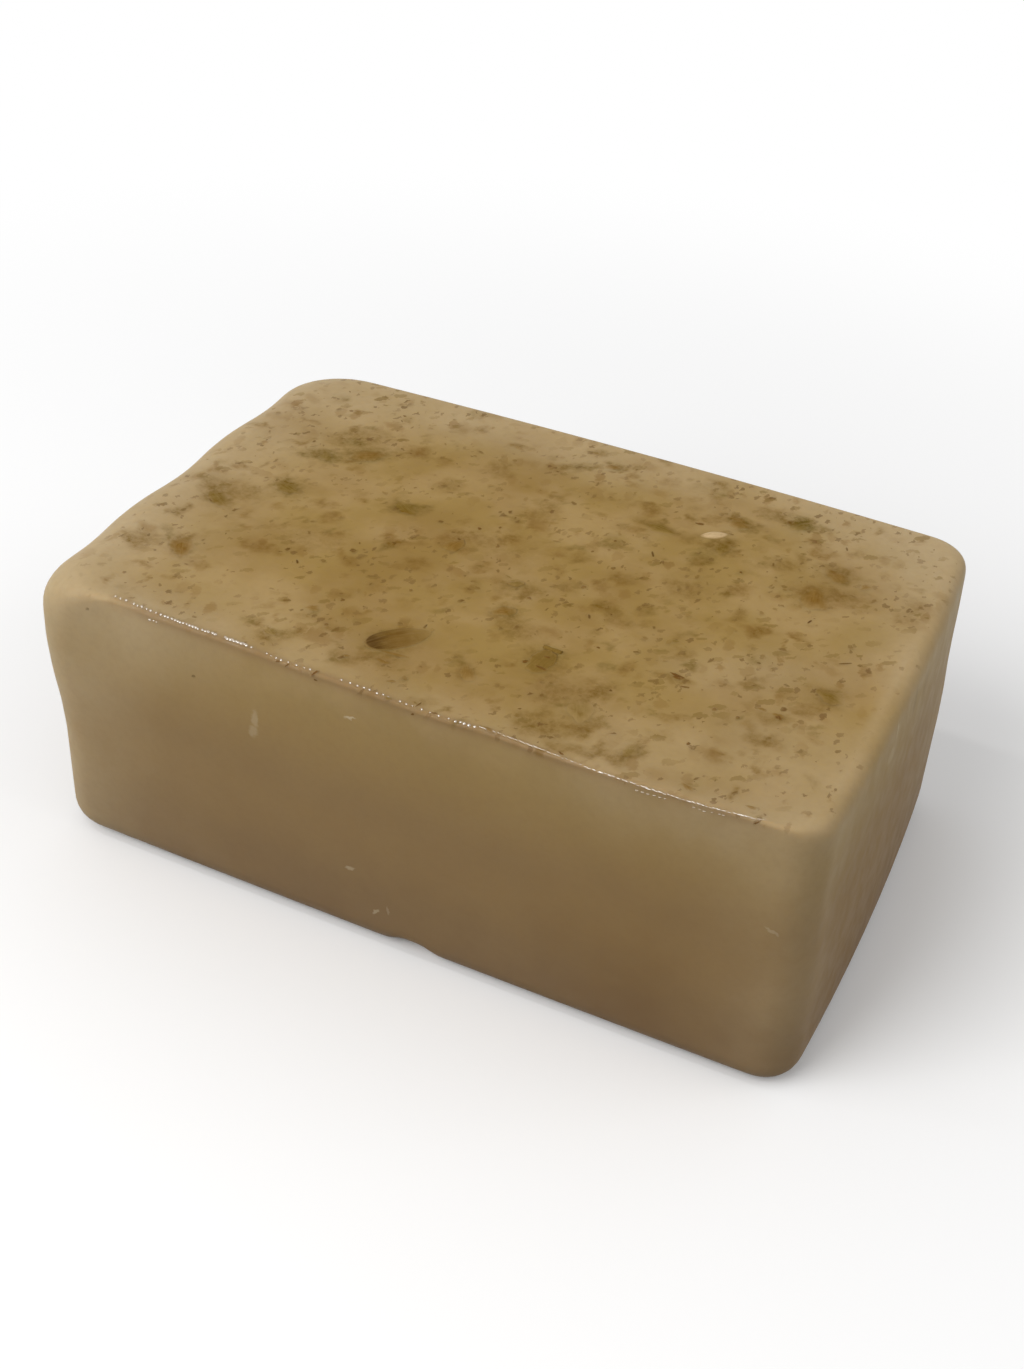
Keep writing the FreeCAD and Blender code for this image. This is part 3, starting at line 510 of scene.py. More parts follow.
def painted_glow_values(points):
    """How much painted glow the soap gets where it is thin, at points in metres: most at the rim and the upright
    corners.
    """
    along, across, height = (points / MM).T
    drift = 2.2 * np.array([noise.noise(Vector(p) * 0.14) for p in points / MM])
    drift += 0.8 * np.array([noise.noise(Vector(p) * 0.5) for p in points / MM])
    beyond = [np.clip(reach + drift, 0, None) for reach in (
        along - BAR_LOW.x / MM, BAR_HIGH.x / MM - along, across - BAR_LOW.y / MM, BAR_HIGH.y / MM - across)]
    below = np.clip(LIP_LEVEL / MM - height, 0, None)
    clear = np.ones(len(points))
    for reach, (width, strength) in zip(beyond, THIN_SIDES):
        clear *= 1 - strength * np.exp(-(reach / width) ** 1.6)
    veil = (1 - clear) * np.exp(-below / RIM_FADE)
    for middle_x, middle_y, half_x, half_y, strength in PALE_PATCHES:
        apart = ((along - middle_x) / half_x) ** 2 + ((across - middle_y) / half_y) ** 2
        veil = over(veil, strength * np.exp(-apart) * np.exp(-below / 1.5))
    on_wall = np.exp(-(beyond[2] / 3.0) ** 2)
    for middle_x, middle_below, half_x, half_below, strength in WALL_PATCHES:
        apart = ((along - middle_x) / half_x) ** 2 + ((below - middle_below) / half_below) ** 2
        veil = over(veil, strength * np.exp(-apart) * on_wall)
    wall_glow = WALL_GLOW * (1 - 0.8 * np.exp(-(beyond[1] / 5) ** 2))
    veil = over(veil, wall_glow * np.clip(below / 2, 0, 1))
    rise = np.clip(height / (LIP_LEVEL / MM), 0, 1)
    for first, second, width, strength, at_base in THIN_CORNERS:
        near = np.exp(-(beyond[first] / width) ** 1.6 - (beyond[second] / width) ** 1.6)
        veil = over(veil, strength * near * (at_base + (1 - at_base) * rise))
    return np.clip(veil, 0, 1)


def write_value(mesh, name, values):
    """Keep one value for each vertex on the mesh."""
    layer = mesh.attributes.new(name, "FLOAT", "POINT")
    layer.data.foreach_set("value", np.asarray(values, np.float32))


def surface_of(mesh):
    """A mesh ready for rays."""
    return BVHTree.FromPolygons([v.co for v in mesh.vertices], [p.vertices for p in mesh.polygons])


def rim_at(along):
    """How far across the front rim lies at places along the bar, in metres."""
    rim_along, rim_across = np.array(FRONT_RIM).T * MM
    return np.interp(along, rim_along, rim_across)


def mesh_points(mesh):
    """The vertices of a mesh as rows of three numbers."""
    points = np.empty(len(mesh.vertices) * 3, np.float32)
    mesh.vertices.foreach_get("co", points)
    return points.reshape(-1, 3).astype(float)


def paint(mesh):
    """Write on a mesh its painted glow where the soap is thin, how stained it is, and the painted shade of the front
    rim's rounded edge.
    """
    points = mesh_points(mesh)
    stain, green = stain_values(points)
    for name, values in (("veil", painted_glow_values(points)), ("stain", stain), ("green", green),
                         ("edge", rim_band(points))):
        write_value(mesh, name, values)


def smooth_mesh(name, points, faces):
    """A new mesh, shaded smooth and painted."""
    mesh = bpy.data.meshes.new(name)
    mesh.from_pydata(points, [], faces)
    mesh.update()
    mesh.polygons.foreach_set("use_smooth", np.ones(len(mesh.polygons), bool))
    paint(mesh)
    return mesh


def band(first, count):
    """Faces of a closed band between two rows of points, the first numbered from first."""
    return [(first + step, first + (step + 1) % count, first + count + (step + 1) % count, first + count + step)
            for step in range(count)]


# ---------------------------------------------------------------- the casting

# The front rim as it wandered while the soap was trimmed: place along the bar and across it.
FRONT_RIM = ((-38.0, -24.2), (-34.0, -25.2), (-30.0, -25.85), (-26.0, -26.3), (-21.0, -26.45), (-16.0, -26.5),
             (-11.0, -26.9), (-6.0, -26.85), (-1.0, -27.05), (4.0, -27.3), (9.0, -26.9), (14.0, -27.15),
             (19.0, -27.5), (24.0, -27.5), (29.0, -27.3), (33.0, -26.85), (37.0, -25.6))
# Where that rim shines: from, to, how strongly, and whether it breaks into beads.
SHINING = ((-30.6, -18.8, 0.9, True), (-18.0, -15.6, 1.0, False), (-15.3, -14.6, 0.9, False),
           (-12.6, -9.0, 0.35, True), (-4.8, -4.2, 0.5, False), (-2.2, -0.8, 0.4, True),
           (5.8, 7.6, 0.9, True), (8.0, 20.0, 0.45, False), (19.5, 34.0, 0.8, False))
# Where the rows of the skin lie: turns in degrees round the edges of rim and base, and steps in millimetres
# from the lip in over the pour face and from the base edge in under the bar.
RIM_TURNS = (0, 8, 16, 24, 32, 40, 47, 54, 60, 65, 69, 72.5, 75.5, 78.5, 81.5, 84.5, 87, 89)
BASE_TURNS = (6, 18, 30, 42, 54, 66, 78, 90)
LIP_STEPS = (0.08, 0.18, 0.30, 0.45, 0.65, 0.9, 1.2, 1.6, 2.1, 2.7, 3.3)
FLOOR_STEPS = (0.3, 1.2, 3.0)
# The radius that the base rows follow, and the largest one of the rim.
BASE_ROUND = 2.8
LARGEST_RIM_ROUND = 4.6
# How far the skin is drawn in to the front rim at the most, and how far below the lip that starts.
LARGEST_DRIFT = 0.9
DRIFT_HEIGHT = 12


def column_rays(count_x, count_y, fan):
    """Places on an inner rectangle and the way out from each, anticlockwise from the front left."""
    half_x = (BAR_HIGH.x - BAR_LOW.x) / 2 - fan
    half_y = (BAR_HIGH.y - BAR_LOW.y) / 2 - fan
    middle = (BAR_LOW + BAR_HIGH) / 2
    anchors, ways = [], []
    sides = ((count_x, half_x, half_y), (count_y, half_y, half_x)) * 2
    for side, (count, half_run, off) in enumerate(sides):
        arc = fan * math.pi / 4
        whole = 2 * half_run + 2 * arc
        spin = Matrix.Rotation(side * math.pi / 2, 2)
        for step in range(count):
            gone = whole * step / count
            run = min(max(gone - arc, 0), 2 * half_run) - half_run
            angle = (min(gone, arc) - arc + max(gone - arc - 2 * half_run, 0)) / fan
            anchors.append(spin @ Vector((run, -off)) + middle.xy)
            ways.append(spin @ Vector((math.sin(angle), -math.cos(angle))))
    return np.array(anchors), np.array(ways)


def row_levels(wall_step):
    """Heights of the rows, closer together round the base edge and the rim."""
    low = [BASE_ROUND * MM * (1 - math.cos(math.radians(turn))) for turn in BASE_TURNS]
    start = LIP_LEVEL - LARGEST_RIM_ROUND * MM
    count = round((start - low[-1]) / wall_step)
    walls = [low[-1] + (start - low[-1]) * step / count for step in range(1, count)]
    return low + walls + [start + LARGEST_RIM_ROUND * MM * math.sin(math.radians(t)) for t in RIM_TURNS]


def read_walls(anchors, ways, levels):
    """How far out from its anchor the CAD casting's wall lies, for each row and column."""
    casting = surface_of(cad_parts["soap_bar"].data)
    reach = np.zeros((len(levels), len(anchors)))
    outside = 20 * MM
    for row, level in enumerate(levels):
        for column, (anchor, way) in enumerate(zip(anchors, ways)):
            start = Vector((*(anchor + way * outside), level))
            hit = casting.ray_cast(start, Vector((*-way, 0)))
            if hit[0] is None:
                raise RuntimeError(f"no wall found at row {row}, column {column}")
            reach[row, column] = outside - hit[3]
    return reach


def softened(reach, passes):
    """Reaches with the small facets of the CAD mesh evened out, round the bar and up it."""
    for _ in range(passes):
        reach = (np.roll(reach, 1, 1) + 2 * reach + np.roll(reach, -1, 1)) / 4
    reach[1:-1] = (reach[:-2] + 2 * reach[1:-1] + reach[2:]) / 4
    return reach


def rim_shine(along):
    """How much the front rim shines at places along it, in millimetres."""
    shine = np.zeros(len(along))
    for start, end, strength, beaded in SHINING:
        inside = within(along, start, end, 0.25)
        if beaded:
            beads = np.sin(along * 9.2 + 1.7 * np.sin(along * 1.3)) * 0.5 + 0.5
            inside = inside * np.clip(beads * 1.6 - 0.35, 0, 1)
        shine = np.maximum(shine, inside * strength * 0.3)
    return shine


def pour_swell(points, height):
    """Slow waves of the pour face."""
    return np.array([noise.noise(Vector((x, y, 0.4)) * 105) for x, y in points[:, :2]]) * height


def soap_skin():
    """Rows of the skin from the base upwards and in over the rim, and the grid that closes its top."""
    soap = bpy.context.scene.shampoo_soap
    length, width = (BAR_HIGH - BAR_LOW).xy
    count_x, count_y = round(length / soap.skin_step), round(width / soap.skin_step)
    anchors, ways = column_rays(count_x, count_y, soap.corner_fan)
    levels = row_levels(soap.wall_step)
    reach = softened(read_walls(anchors, ways, levels), 3)
    rows = [np.column_stack((anchors + ways * reach[row][:, None], np.full(len(anchors), level)))
            for row, level in enumerate(levels)]
    is_front = ways[:, 1] < -0.85
    drift = np.where(is_front, np.clip(rim_at(rows[-1][:, 0]) - rows[-1][:, 1], 0, LARGEST_DRIFT * MM), 0)
    drift = np.convolve(np.concatenate((drift[-6:], drift, drift[:6])), np.ones(13) / 13, "valid")
    for row in rows:
        share = np.clip((row[:, 2] - (LIP_LEVEL - DRIFT_HEIGHT * MM)) / (DRIFT_HEIGHT * MM), 0, 1)
        row[:, 1] += drift * share * share
    last = rows[-1]
    for step in LIP_STEPS:
        share = min(step * MM / soap.meniscus, 1)
        level = LIP_LEVEL - share * share * (3 - 2 * share) * (LIP_LEVEL - POUR_LEVEL)
        rows.append(np.column_stack((last[:, :2] - ways * step * MM, np.full(len(last), level))))
    feet = [np.column_stack((rows[0][:, :2] - ways * step * MM, np.zeros(len(last)))) for step in FLOOR_STEPS]
    return feet[::-1] + rows, cap_grid(rows[-1], count_x, count_y), ways


def cap_grid(loop, count_x, count_y):
    """The top inside its last row, filled evenly from its four sides."""
    front = loop[:count_x + 1]
    right = loop[count_x:count_x + count_y + 1]
    back = loop[count_x + count_y:2 * count_x + count_y + 1][::-1]
    left = np.concatenate((loop[2 * count_x + count_y:], loop[:1]))[::-1]
    u = np.linspace(0, 1, count_x + 1)[None, :, None]
    v = np.linspace(0, 1, count_y + 1)[:, None, None]
    ruled = (1 - v) * front[None] + v * back[None] + (1 - u) * left[:, None] + u * right[:, None]
    corners = ((1 - u) * (1 - v) * front[0] + u * (1 - v) * front[-1]
               + (1 - u) * v * back[0] + u * v * back[-1])
    grid = ruled - corners
    grid[0], grid[-1], grid[:, 0], grid[:, -1] = front, back, left, right
    swell = bpy.context.scene.shampoo_soap.swell
    inside = (np.minimum(u, 1 - u) * np.minimum(v, 1 - v) * 4)[..., 0] ** 0.5
    waves = pour_swell(grid.reshape(-1, 3), swell).reshape(grid.shape[:2]) * inside
    grid[..., 2] += np.minimum(waves - swell * 0.2 * inside, 0.02 * MM)
    return grid


def cast_soap_mesh():
    """One closed skin over the casting: a tube of rows, with the base and the grid of its top joined to it."""
    rows, grid, ways = soap_skin()
    columns = len(ways)
    points = np.concatenate(rows)
    faces = [face for row in range(len(rows) - 1) for face in band(row * columns, columns)]
    faces.append(tuple(range(columns))[::-1])
    count_y, count_x = grid.shape[0] - 1, grid.shape[1] - 1
    loop_start = (len(rows) - 1) * columns
    index = np.full(grid.shape[:2], -1)
    index[0, :] = loop_start + np.arange(count_x + 1)
    index[:, -1] = loop_start + count_x + np.arange(count_y + 1)
    index[-1, ::-1] = loop_start + count_x + count_y + np.arange(count_x + 1)
    index[:0:-1, 0] = loop_start + 2 * count_x + count_y + np.arange(count_y)
    inner = index < 0
    index[inner] = len(points) + np.arange(inner.sum())
    points = np.concatenate((points, grid[inner]))
    faces += [(index[j, i], index[j, i + 1], index[j + 1, i + 1], index[j + 1, i])
              for j in range(count_y) for i in range(count_x)]
    mesh = smooth_mesh("soap_body", points.tolist(), [tuple(int(v) for v in face) for face in faces])
    write_value(mesh, "shine", shine_values(mesh_points(mesh)))
    write_value(mesh, "pour", pour_values(mesh_points(mesh)))
    return mesh


def shine_values(points):
    """Where the rim is wet and bright: a narrow line along the front edge."""
    off = points[:, 1] - rim_at(points[:, 0])
    line = np.exp(-((off - 0.05 * MM) / (0.34 * MM)) ** 2)
    high = np.clip((points[:, 2] - (LIP_LEVEL - 0.5 * MM)) / (0.3 * MM), 0, 1)
    return line * high * rim_shine(points[:, 0] / MM)


def pour_values(points):
    """1 on the pour face, fading out over the rim."""
    return np.clip((points[:, 2] - (POUR_LEVEL - 0.5 * MM)) / (0.5 * MM), 0, 1)


# Pale scuffs and dark pinholes in the walls, and the painted light and shade of a dent in the right end's rim: middle
# and half lengths along X, Y and Z in millimetres, turn about Y in degrees, how strong, and whether it is pale.
SCUFFS_AND_DENT_SHADE = (
    ((-14.6, -27.1, 24.8), (0.50, 3.0, 1.25), 0, 0.30, True), ((-14.9, -27.1, 23.2), (0.68, 3.0, 0.85), 0, 0.28, True),
    ((-4.5, -27.4, 28.9), (0.75, 3.0, 0.20), 18, 0.75, True), ((-4.9, -26.3, 9.9), (0.65, 3.0, 0.32), 12, 0.42, True),
    ((-2.3, -25.8, 4.9), (0.75, 3.0, 0.26), 48, 0.50, True), ((-0.9, -25.8, 5.7), (0.22, 3.0, 0.75), 10, 0.25, True),
    ((36.2, -26.0, 20.8), (0.9, 3.0, 0.22), -30, 0.30, True), ((-21.2, -26.5, 27.2), (0.26, 3.0, 0.24), 0, 0.6, False),
    # The last five, on the right end, are pale scuffs with the painted light and shade of a dent in the rounded rim;
    # the dark ones are painted shade.
    ((-33.0, -25.5, 30.7), (0.28, 3.0, 0.24), 0, 0.5, False), ((40.0, -6.2, 30.2), (3.0, 0.28, 1.3), 0, 0.36, True),
    ((40.0, -7.2, 28.0), (3.0, 1.6, 1.0), 0, 0.22, True), ((40.2, -2.0, 29.3), (3.0, 0.35, 1.7), 0, 0.16, True),
    ((40.2, 0.4, 29.2), (3.0, 0.6, 2.0), 0, 0.18, False), ((40.3, 5.0, 28.4), (3.0, 1.2, 2.4), 0, 0.10, False),
)


# Layers of soft specks: turn in degrees, cells to a metre, stretch, cover, softness, strength and colour.
SPECK_LAYERS = (
    (20, 330.0, 0.6, 0.45, 0.30, 0.42, "petal"), (75, 560.0, 0.55, 0.40, 0.20, 0.42, "petal"),
    (140, 900.0, 0.5, 0.34, 0.12, 0.5, "leaf"), (110, 1500.0, 0.6, 0.26, 0.10, 0.55, "husk"),
)


def scuffed_and_dent_shaded(tree, place, tone):
    """A colour with the scuffs of the walls and the painted light and shade of a dent laid over it."""
    pale = solid(display(196, 180, 150))
    dark = solid(display(84, 64, 38))
    for middle, reach, turn, strength, is_pale in SCUFFS_AND_DENT_SHADE:
        mask = place_group(tree, WALL_MARK, {
            "Place": place, "Middle": Vector(middle) * MM, "Reach": Vector(reach) * MM,
            "Turn": math.radians(turn)})["Mask"]
        tone = blended(tree, times(tree, mask, strength), tone, pale if is_pale else dark)
    return tone


def soap_material():
    """Waxy, slightly clear soap with plant specks under its skin."""
    material, tree, shader = new_material("soap")
    flecks = bpy.context.scene.shampoo_flecks
    place = own_place(tree)
    tone = soap_here(tree)
    thick = ramped(tree, cloudy(tree, place, 170.0, 2.0), 0.34, 0.62, 0.25, 1.0)
    thick = times(tree, thick, carried(tree, "pour"))
    for turn, scale, stretch, cover, soft, strength, colour in SPECK_LAYERS:
        mask = place_group(tree, SOFT_SPECKS, {
            "Place": place, "Turn": math.radians(turn), "Scale": scale, "Stretch": stretch,
            "Cover": cover, "Soft": soft})["Mask"]
        share = times(tree, times(tree, mask, thick), strength)
        tone = blended(tree, share, tone, solid(getattr(flecks, colour)))
    finish(tree, shader, {"Base Color": scuffed_and_dent_shaded(tree, place, tone)})
    skin = place_group(tree, WAXY_SKIN, {"Place": place, "Ripple": 1.0, "Grain": 0.10})
    shine = carried(tree, "shine")
    rough = ramped(tree, skin["Patch"], 0.3, 0.7, 0.42, 0.54)
    rough = worked(tree, "SUBTRACT", rough, times(tree, shine, 0.5), clamp=True)
    bump = made(tree, "ShaderNodeBump", {"Height": skin["Height"], "Strength": 0.3, "Distance": 0.10 * MM})
    finish(tree, shader, {
        "Roughness": rough, "Coat Weight": shine, "Coat Roughness": 0.06, "Normal": bump,
        "Specular IOR Level": 0.03, "Subsurface Weight": 0.5, "Subsurface Radius": (1.0, 0.75, 0.45),
        "Subsurface Scale": 2.0 * MM})
    return material


# ---------------------------------------------------------------- strewn pieces

def placed(name, data):
    """A new object in the scene."""
    thing = bpy.data.objects.new(name, data)
    bpy.context.scene.collection.objects.link(thing)
    return thing


def kept_piece(mesh, material, slot, *nodes):
    """Link a finished piece, let it ride with the bar, and hide the CAD nodes that it takes the place of.

    A piece that Geometry Nodes grew comes with its material, so it has none here."""
    if material:
        mesh.materials.append(material)
    piece = placed(mesh.name, mesh)
    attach(piece, BODY)
    if nodes:
        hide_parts(*nodes)


def solids_of(node):
    """Where each separate solid of a CAD node lies: middle, turn, length, width, top and foot."""
    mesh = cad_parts[node].data
    points = mesh_points(mesh)
    keys = {}
    name_of = [keys.setdefault(tuple(np.round(p / (0.01 * MM)).astype(int)), len(keys)) for p in points]
    root = list(range(len(keys)))

    def top_of(item):
        """The first vertex of the solid that a vertex belongs to."""
        while root[item] != item:
            root[item] = root[root[item]]
            item = root[item]
        return item

    for face in mesh.polygons:
        corners = [name_of[v] for v in face.vertices]
        for other in corners[1:]:
            root[top_of(other)] = top_of(corners[0])
    groups = {}
    for point, name in zip(points, name_of):
        groups.setdefault(top_of(name), []).append(point)
    found = []
    for members in map(np.array, groups.values()):
        flat = members[:, :2]
        middle = (flat.min(0) + flat.max(0)) / 2
        spread = np.cov((flat - flat.mean(0)).T)
        turn = 0.5 * math.atan2(2 * spread[0, 1], spread[0, 0] - spread[1, 1])
        ways = np.array(((math.cos(turn), math.sin(turn)), (-math.sin(turn), math.cos(turn))))
        reach = [(flat - middle) @ way for way in ways]
        for way, gone in zip(ways, reach):
            middle = middle + way * (gone.max() + gone.min()) / 2
        found.append((middle, turn, np.ptp(reach[0]), np.ptp(reach[1]), members[:, 2].max(), members[:, 2].min()))
    return sorted(found, key=lambda solid_place: tuple(solid_place[0]))


def leaf_edge(chance, turns):
    """A torn leaf: a blade with a point at one end, one side bitten."""
    x = np.cos(turns)
    y = np.sin(turns) * (1 - 0.35 * np.abs(x) ** 1.5) * np.where(x > 0, 1 - 0.3 * x, 1)
    bite = chance.uniform(0, 2 * math.pi)
    dent = 1 - 0.28 * np.exp(-((np.angle(np.exp(1j * (turns - bite)))) / 0.35) ** 2)
    return np.column_stack((x, y)) * dent[:, None] * ragged(chance, turns, 0.10)


def petal_edge(chance, turns):
    """A torn petal: broad and blunt, with a narrow foot."""
    x = np.cos(turns)
    return np.column_stack((x, np.sin(turns) * (0.75 + 0.25 * x))) * ragged(chance, turns, 0.14)


def crumb_edge(chance, turns):
    """A chip of husk with a few broken sides."""
    return np.column_stack((np.cos(turns), np.sin(turns) * 0.8)) * ragged(chance, turns, 0.22)


def sliver_edge(chance, turns):
    """A split length of stalk."""
    x = np.sign(np.cos(turns)) * np.abs(np.cos(turns)) ** 0.6
    bend = chance.uniform(-0.35, 0.35)
    return np.column_stack((x, np.sin(turns) * 0.85 + bend * (1 - x * x))) * ragged(chance, turns, 0.06)


def ragged(chance, turns, depth):
    """A broken edge: a few waves of random height and phase."""
    wave = np.ones(len(turns))
    for count in (2, 3, 5, 8, 11):
        wave += depth / math.sqrt(count) * math.sqrt(2) * chance.uniform(0.3, 1) * np.sin(
            count * turns + chance.uniform(0, 6.3))
    return np.clip(wave, 0.5, 1.0 + depth)[:, None]


# The rings of a flake from its edge inwards, as shares of its half width.
RINGS = (1.0, 0.88, 0.7, 0.48, 0.24)


class Flakes:
    """Flakes gathered into one mesh, with the values that their material reads."""

    def __init__(self):
        self.points, self.faces, self.heart, self.blade, self.tone = [], [], [], [], []

    def add(self, place, rows, faces, tone):
        """Rows of points in a flake's own frame, each with its heart and its place on the blade."""
        start = len(self.points)
        self.points.extend(tuple(place(point)) for point, _, _ in rows)
        self.heart.extend(heart for _, heart, _ in rows)
        self.blade.extend((u + 3 * start, v, 0) for _, _, (u, v) in rows)
        self.tone.extend([tone] * len(rows))
        self.faces.extend(tuple(start + v for v in face) for face in faces)

    def mesh(self, name):
        """The gathered flakes as one mesh."""
        mesh = smooth_mesh(name, self.points, self.faces)
        write_value(mesh, "heart", self.heart)
        write_value(mesh, "tone", self.tone)
        layer = mesh.attributes.new("blade", "FLOAT_VECTOR", "POINT")
        layer.data.foreach_set("vector", np.array(self.blade, np.float32).ravel())
        return mesh


def flake(edge_of, count, length, width, rise, thickness, chance):
    """A thin lens with a ragged edge: its rows, as Flakes takes them, and its faces."""
    edge = edge_of(chance, np.linspace(0, 2 * math.pi, count, endpoint=False))
    crumple = Vector((chance.uniform(0, 90), chance.uniform(0, 90), 0))
    rows = []
    for ring in RINGS:
        for x, y in edge * ring:
            lift = rise * (1 - ring ** 2) - 0.02 * MM * ring
            lift += rise * 0.5 * noise.noise(Vector((x * 2.2, y * 2.2, 0)) + crumple) * (1 - ring)
            rows.append(((x * length / 2, y * width / 2, lift), 1 - ring, (x, y)))
    middle = len(rows)
    rows.append(((0, 0, rise), 1, (0, 0)))
    rows += [((x * length / 2 * 0.9, y * width / 2 * 0.9, -thickness), 0, (x, y)) for x, y in edge]
    faces = [face for ring in range(len(RINGS) - 1) for face in band(ring * count, count)]
    last = (len(RINGS) - 1) * count
    foot = middle + 1
    for step in range(count):
        after = (step + 1) % count
        faces.append((last + step, last + after, middle))
        faces.append((after, step, foot + step, foot + after))
    faces.append(tuple(foot + step for step in range(count))[::-1])
    return rows, faces


# Small pieces laid one by one: place along and across the bar, length, width and turn, in millimetres and
# degrees. The ones beyond the rim line lie on the edge or just under it.
LAID_HUSK = (
    (20.3, -11.1, 1.9, 0.75, -10), (21.5, -12.4, 1.2, 0.5, 10), (9.0, -16.2, 1.8, 0.55, -8),
    (7.3, -16.0, 0.9, 0.7, 40), (8.8, -14.4, 1.0, 0.5, 0), (-8.2, -27.0, 0.9, 0.4, 60),
    (-8.0, -27.8, 0.5, 0.3, 0), (2.0, -26.6, 1.0, 0.25, 80), (1.9, -28.0, 0.5, 0.35, 30),
    (3.8, -27.0, 0.8, 0.35, 20), (15.7, -26.7, 0.9, 0.4, -30), (33.3, -27.1, 0.7, 0.3, 40),
    (-12.0, -27.1, 0.6, 0.3, 10), (-11.0, -27.2, 0.5, 0.25, 50), (12.8, 15.2, 1.2, 0.8, 10),
)
LAID_LEAF = (
    (1.0, -4.4, 1.7, 1.5, 0), (-0.1, -3.9, 1.2, 0.35, -20), (18.2, -6.0, 1.2, 0.6, 10), (-0.7, -27.1, 0.9, 0.6, 0),
)
LAID_PETAL = (
    (28.7, -12.1, 1.4, 0.7, 0), (30.3, -12.3, 1.6, 1.2, 0), (26.7, -25.6, 1.8, 1.1, -30), (32.3, -25.5, 1.4, 0.8, 0),
    (8.8, -26.7, 1.6, 0.75, -10), (-3.6, -20.9, 3.6, 0.75, 6), (-3.9, -22.4, 2.1, 0.95, -10),
    (-7.3, -23.3, 1.1, 0.7, 30), (-1.8, -24.7, 1.4, 0.7, 30), (15.9, 18.0, 2.6, 1.5, 0),
)


def laid_mesh(name, rows, edge_of, seed):
    """One mesh of small flakes laid one by one on what is already there, each square to the skin."""
    chance = random.Random(seed)
    under = [surface_of(bpy.data.objects[piece].data) for piece in ("soap_body", "curled_leaf")]
    flakes = Flakes()
    ahead = Vector((0, 1, -1)).normalized()
    for along, across, length, width, turn in rows:
        origin = Vector((along * MM, (across - 10) * MM, LIP_LEVEL + 10 * MM))
        hits = [hit for hit in (skin.ray_cast(origin, ahead) for skin in under) if hit[0] is not None]
        if not hits:
            raise RuntimeError("a laid flake found nothing to lie on")
        place, square, _, _ = min(hits, key=lambda hit: hit[3])
        shape = flake(edge_of, 18, length * MM, width * MM, 0.035 * MM, 0.05 * MM, chance)
        run = (Vector((1, 0, 0)) - square * square.x).normalized()
        spin = Matrix((run, square.cross(run), square)).transposed() @ Matrix.Rotation(math.radians(turn), 3, "Z")

        def laid(point):
            """A point of the flake on the skin, never above the bar's own box."""
            x, y, z = spin @ Vector(point) + place
            return x, y, min(z, CAD_HIGH.z - 0.01 * MM)

        flakes.add(laid, *shape, chance.uniform(0.5, 1.0))
    return flakes.mesh(name)


def strewn_mesh(name, node, edge_of, count, seed, rise, swollen):
    """One mesh of all the flakes of a kind, each where its CAD solid lies."""
    chance = random.Random(seed)
    flakes = Flakes()
    for middle, turn, length, width, top, low in solids_of(node):
        shape = flake(edge_of, count, length * swollen, width * swollen, rise, (top - low) * 0.8, chance)
        if chance.random() < 0.5:
            turn += math.pi
        flakes.add(turned_frame(turn, middle), *shape, chance.random())
    return flakes.mesh(name)


def soap_here(tree):
    """Colour of the soap round the piece, for where it is covered."""
    return place_group(tree, SOAP_TONE, {
        "Place": own_place(tree), "Veil": carried(tree, "veil"), "Stain": carried(tree, "stain"),
        "Green": carried(tree, "green"), "Edge": carried(tree, "edge")})["Colour"]


def finish_dry(tree, shader, tone, grain, roughness):
    """Colour, roughness and relief of a dried piece."""
    height = worked(tree, "ADD", grain["Fibre"], times(tree, grain["Blotch"], 0.6))
    bump = made(tree, "ShaderNodeBump", {"Height": height, "Strength": 0.5, "Distance": 0.06 * MM})
    finish(tree, shader, {"Base Color": tone, "Roughness": roughness, "Specular IOR Level": 0.02, "Normal": bump})


def flake_material(name, colour, pale, feather, strength, fibres, roughness=0.5):
    """A dried flake let into the soap: its edge fades into the soap that covers it."""
    material, tree, shader = new_material(name)
    soap = soap_here(tree)
    grain = place_group(tree, DRY_GRAIN, {"Blade": blade_of(tree), "Fibres": fibres})
    tone = blended(tree, ramped(tree, grain["Fibre"], 0.35, 0.68), solid(colour), solid(pale))
    tone = blended(tree, ramped(tree, grain["Blotch"], 0.48, 0.75, 0.0, 0.6), tone, soap)
    varied = ramped(tree, carried(tree, "tone"), 0.0, 1.0, strength * 0.55, strength)
    covered = ramped(tree, carried(tree, "heart"), 0.0, feather)
    finish_dry(tree, shader, blended(tree, times(tree, covered, varied), soap, tone), grain, roughness)
    return material


# ---------------------------------------------------------------- the three large pieces

def turned_frame(turn, middle):
    """Puts a point of a piece's own frame at its place on the pour face."""
    spin = Matrix.Rotation(turn, 3, "Z")
    return lambda point: spin @ Vector(point) + Vector((*middle, POUR_LEVEL))


def pointing_right(turn):
    """A turn whose positive end lies towards the right or, if it lies across the bar, the back."""
    return turn + math.pi if math.cos(turn + 0.1) < 0 else turn


def tube(count, rings):
    """Faces of a tube of rings, with both ends closed."""
    last = (rings - 1) * count
    faces = [face for ring in range(rings - 1) for face in band(ring * count, count)]
    return faces + [tuple(range(count))[::-1], tuple(range(last, last + count))]


def domed_mesh(name, node, count, foot, shares, shape):
    """A piece that lies in the soap: rings from its foot in the soap up to the middle of its back."""
    (middle, turn, length, width, top, low), = solids_of(node)
    angles = [spoke / count * 2 * math.pi for spoke in range(count)]
    half_along, half_across, sunk = foot
    rows = [((math.cos(a) * length * half_along, math.sin(a) * width * half_across, low - POUR_LEVEL + sunk * MM),
             0.0, (0.0, 0.0)) for a in angles]
    for share in shares:
        for angle in angles:
            point, blade = shape(share, math.cos(angle), math.sin(angle), length, width, top - POUR_LEVEL)
            rows.append((point, 1 - share, blade))
    flakes = Flakes()
    flakes.add(turned_frame(pointing_right(turn), middle), rows, tube(count, len(shares) + 1), 0.5)
    return flakes.mesh(name)


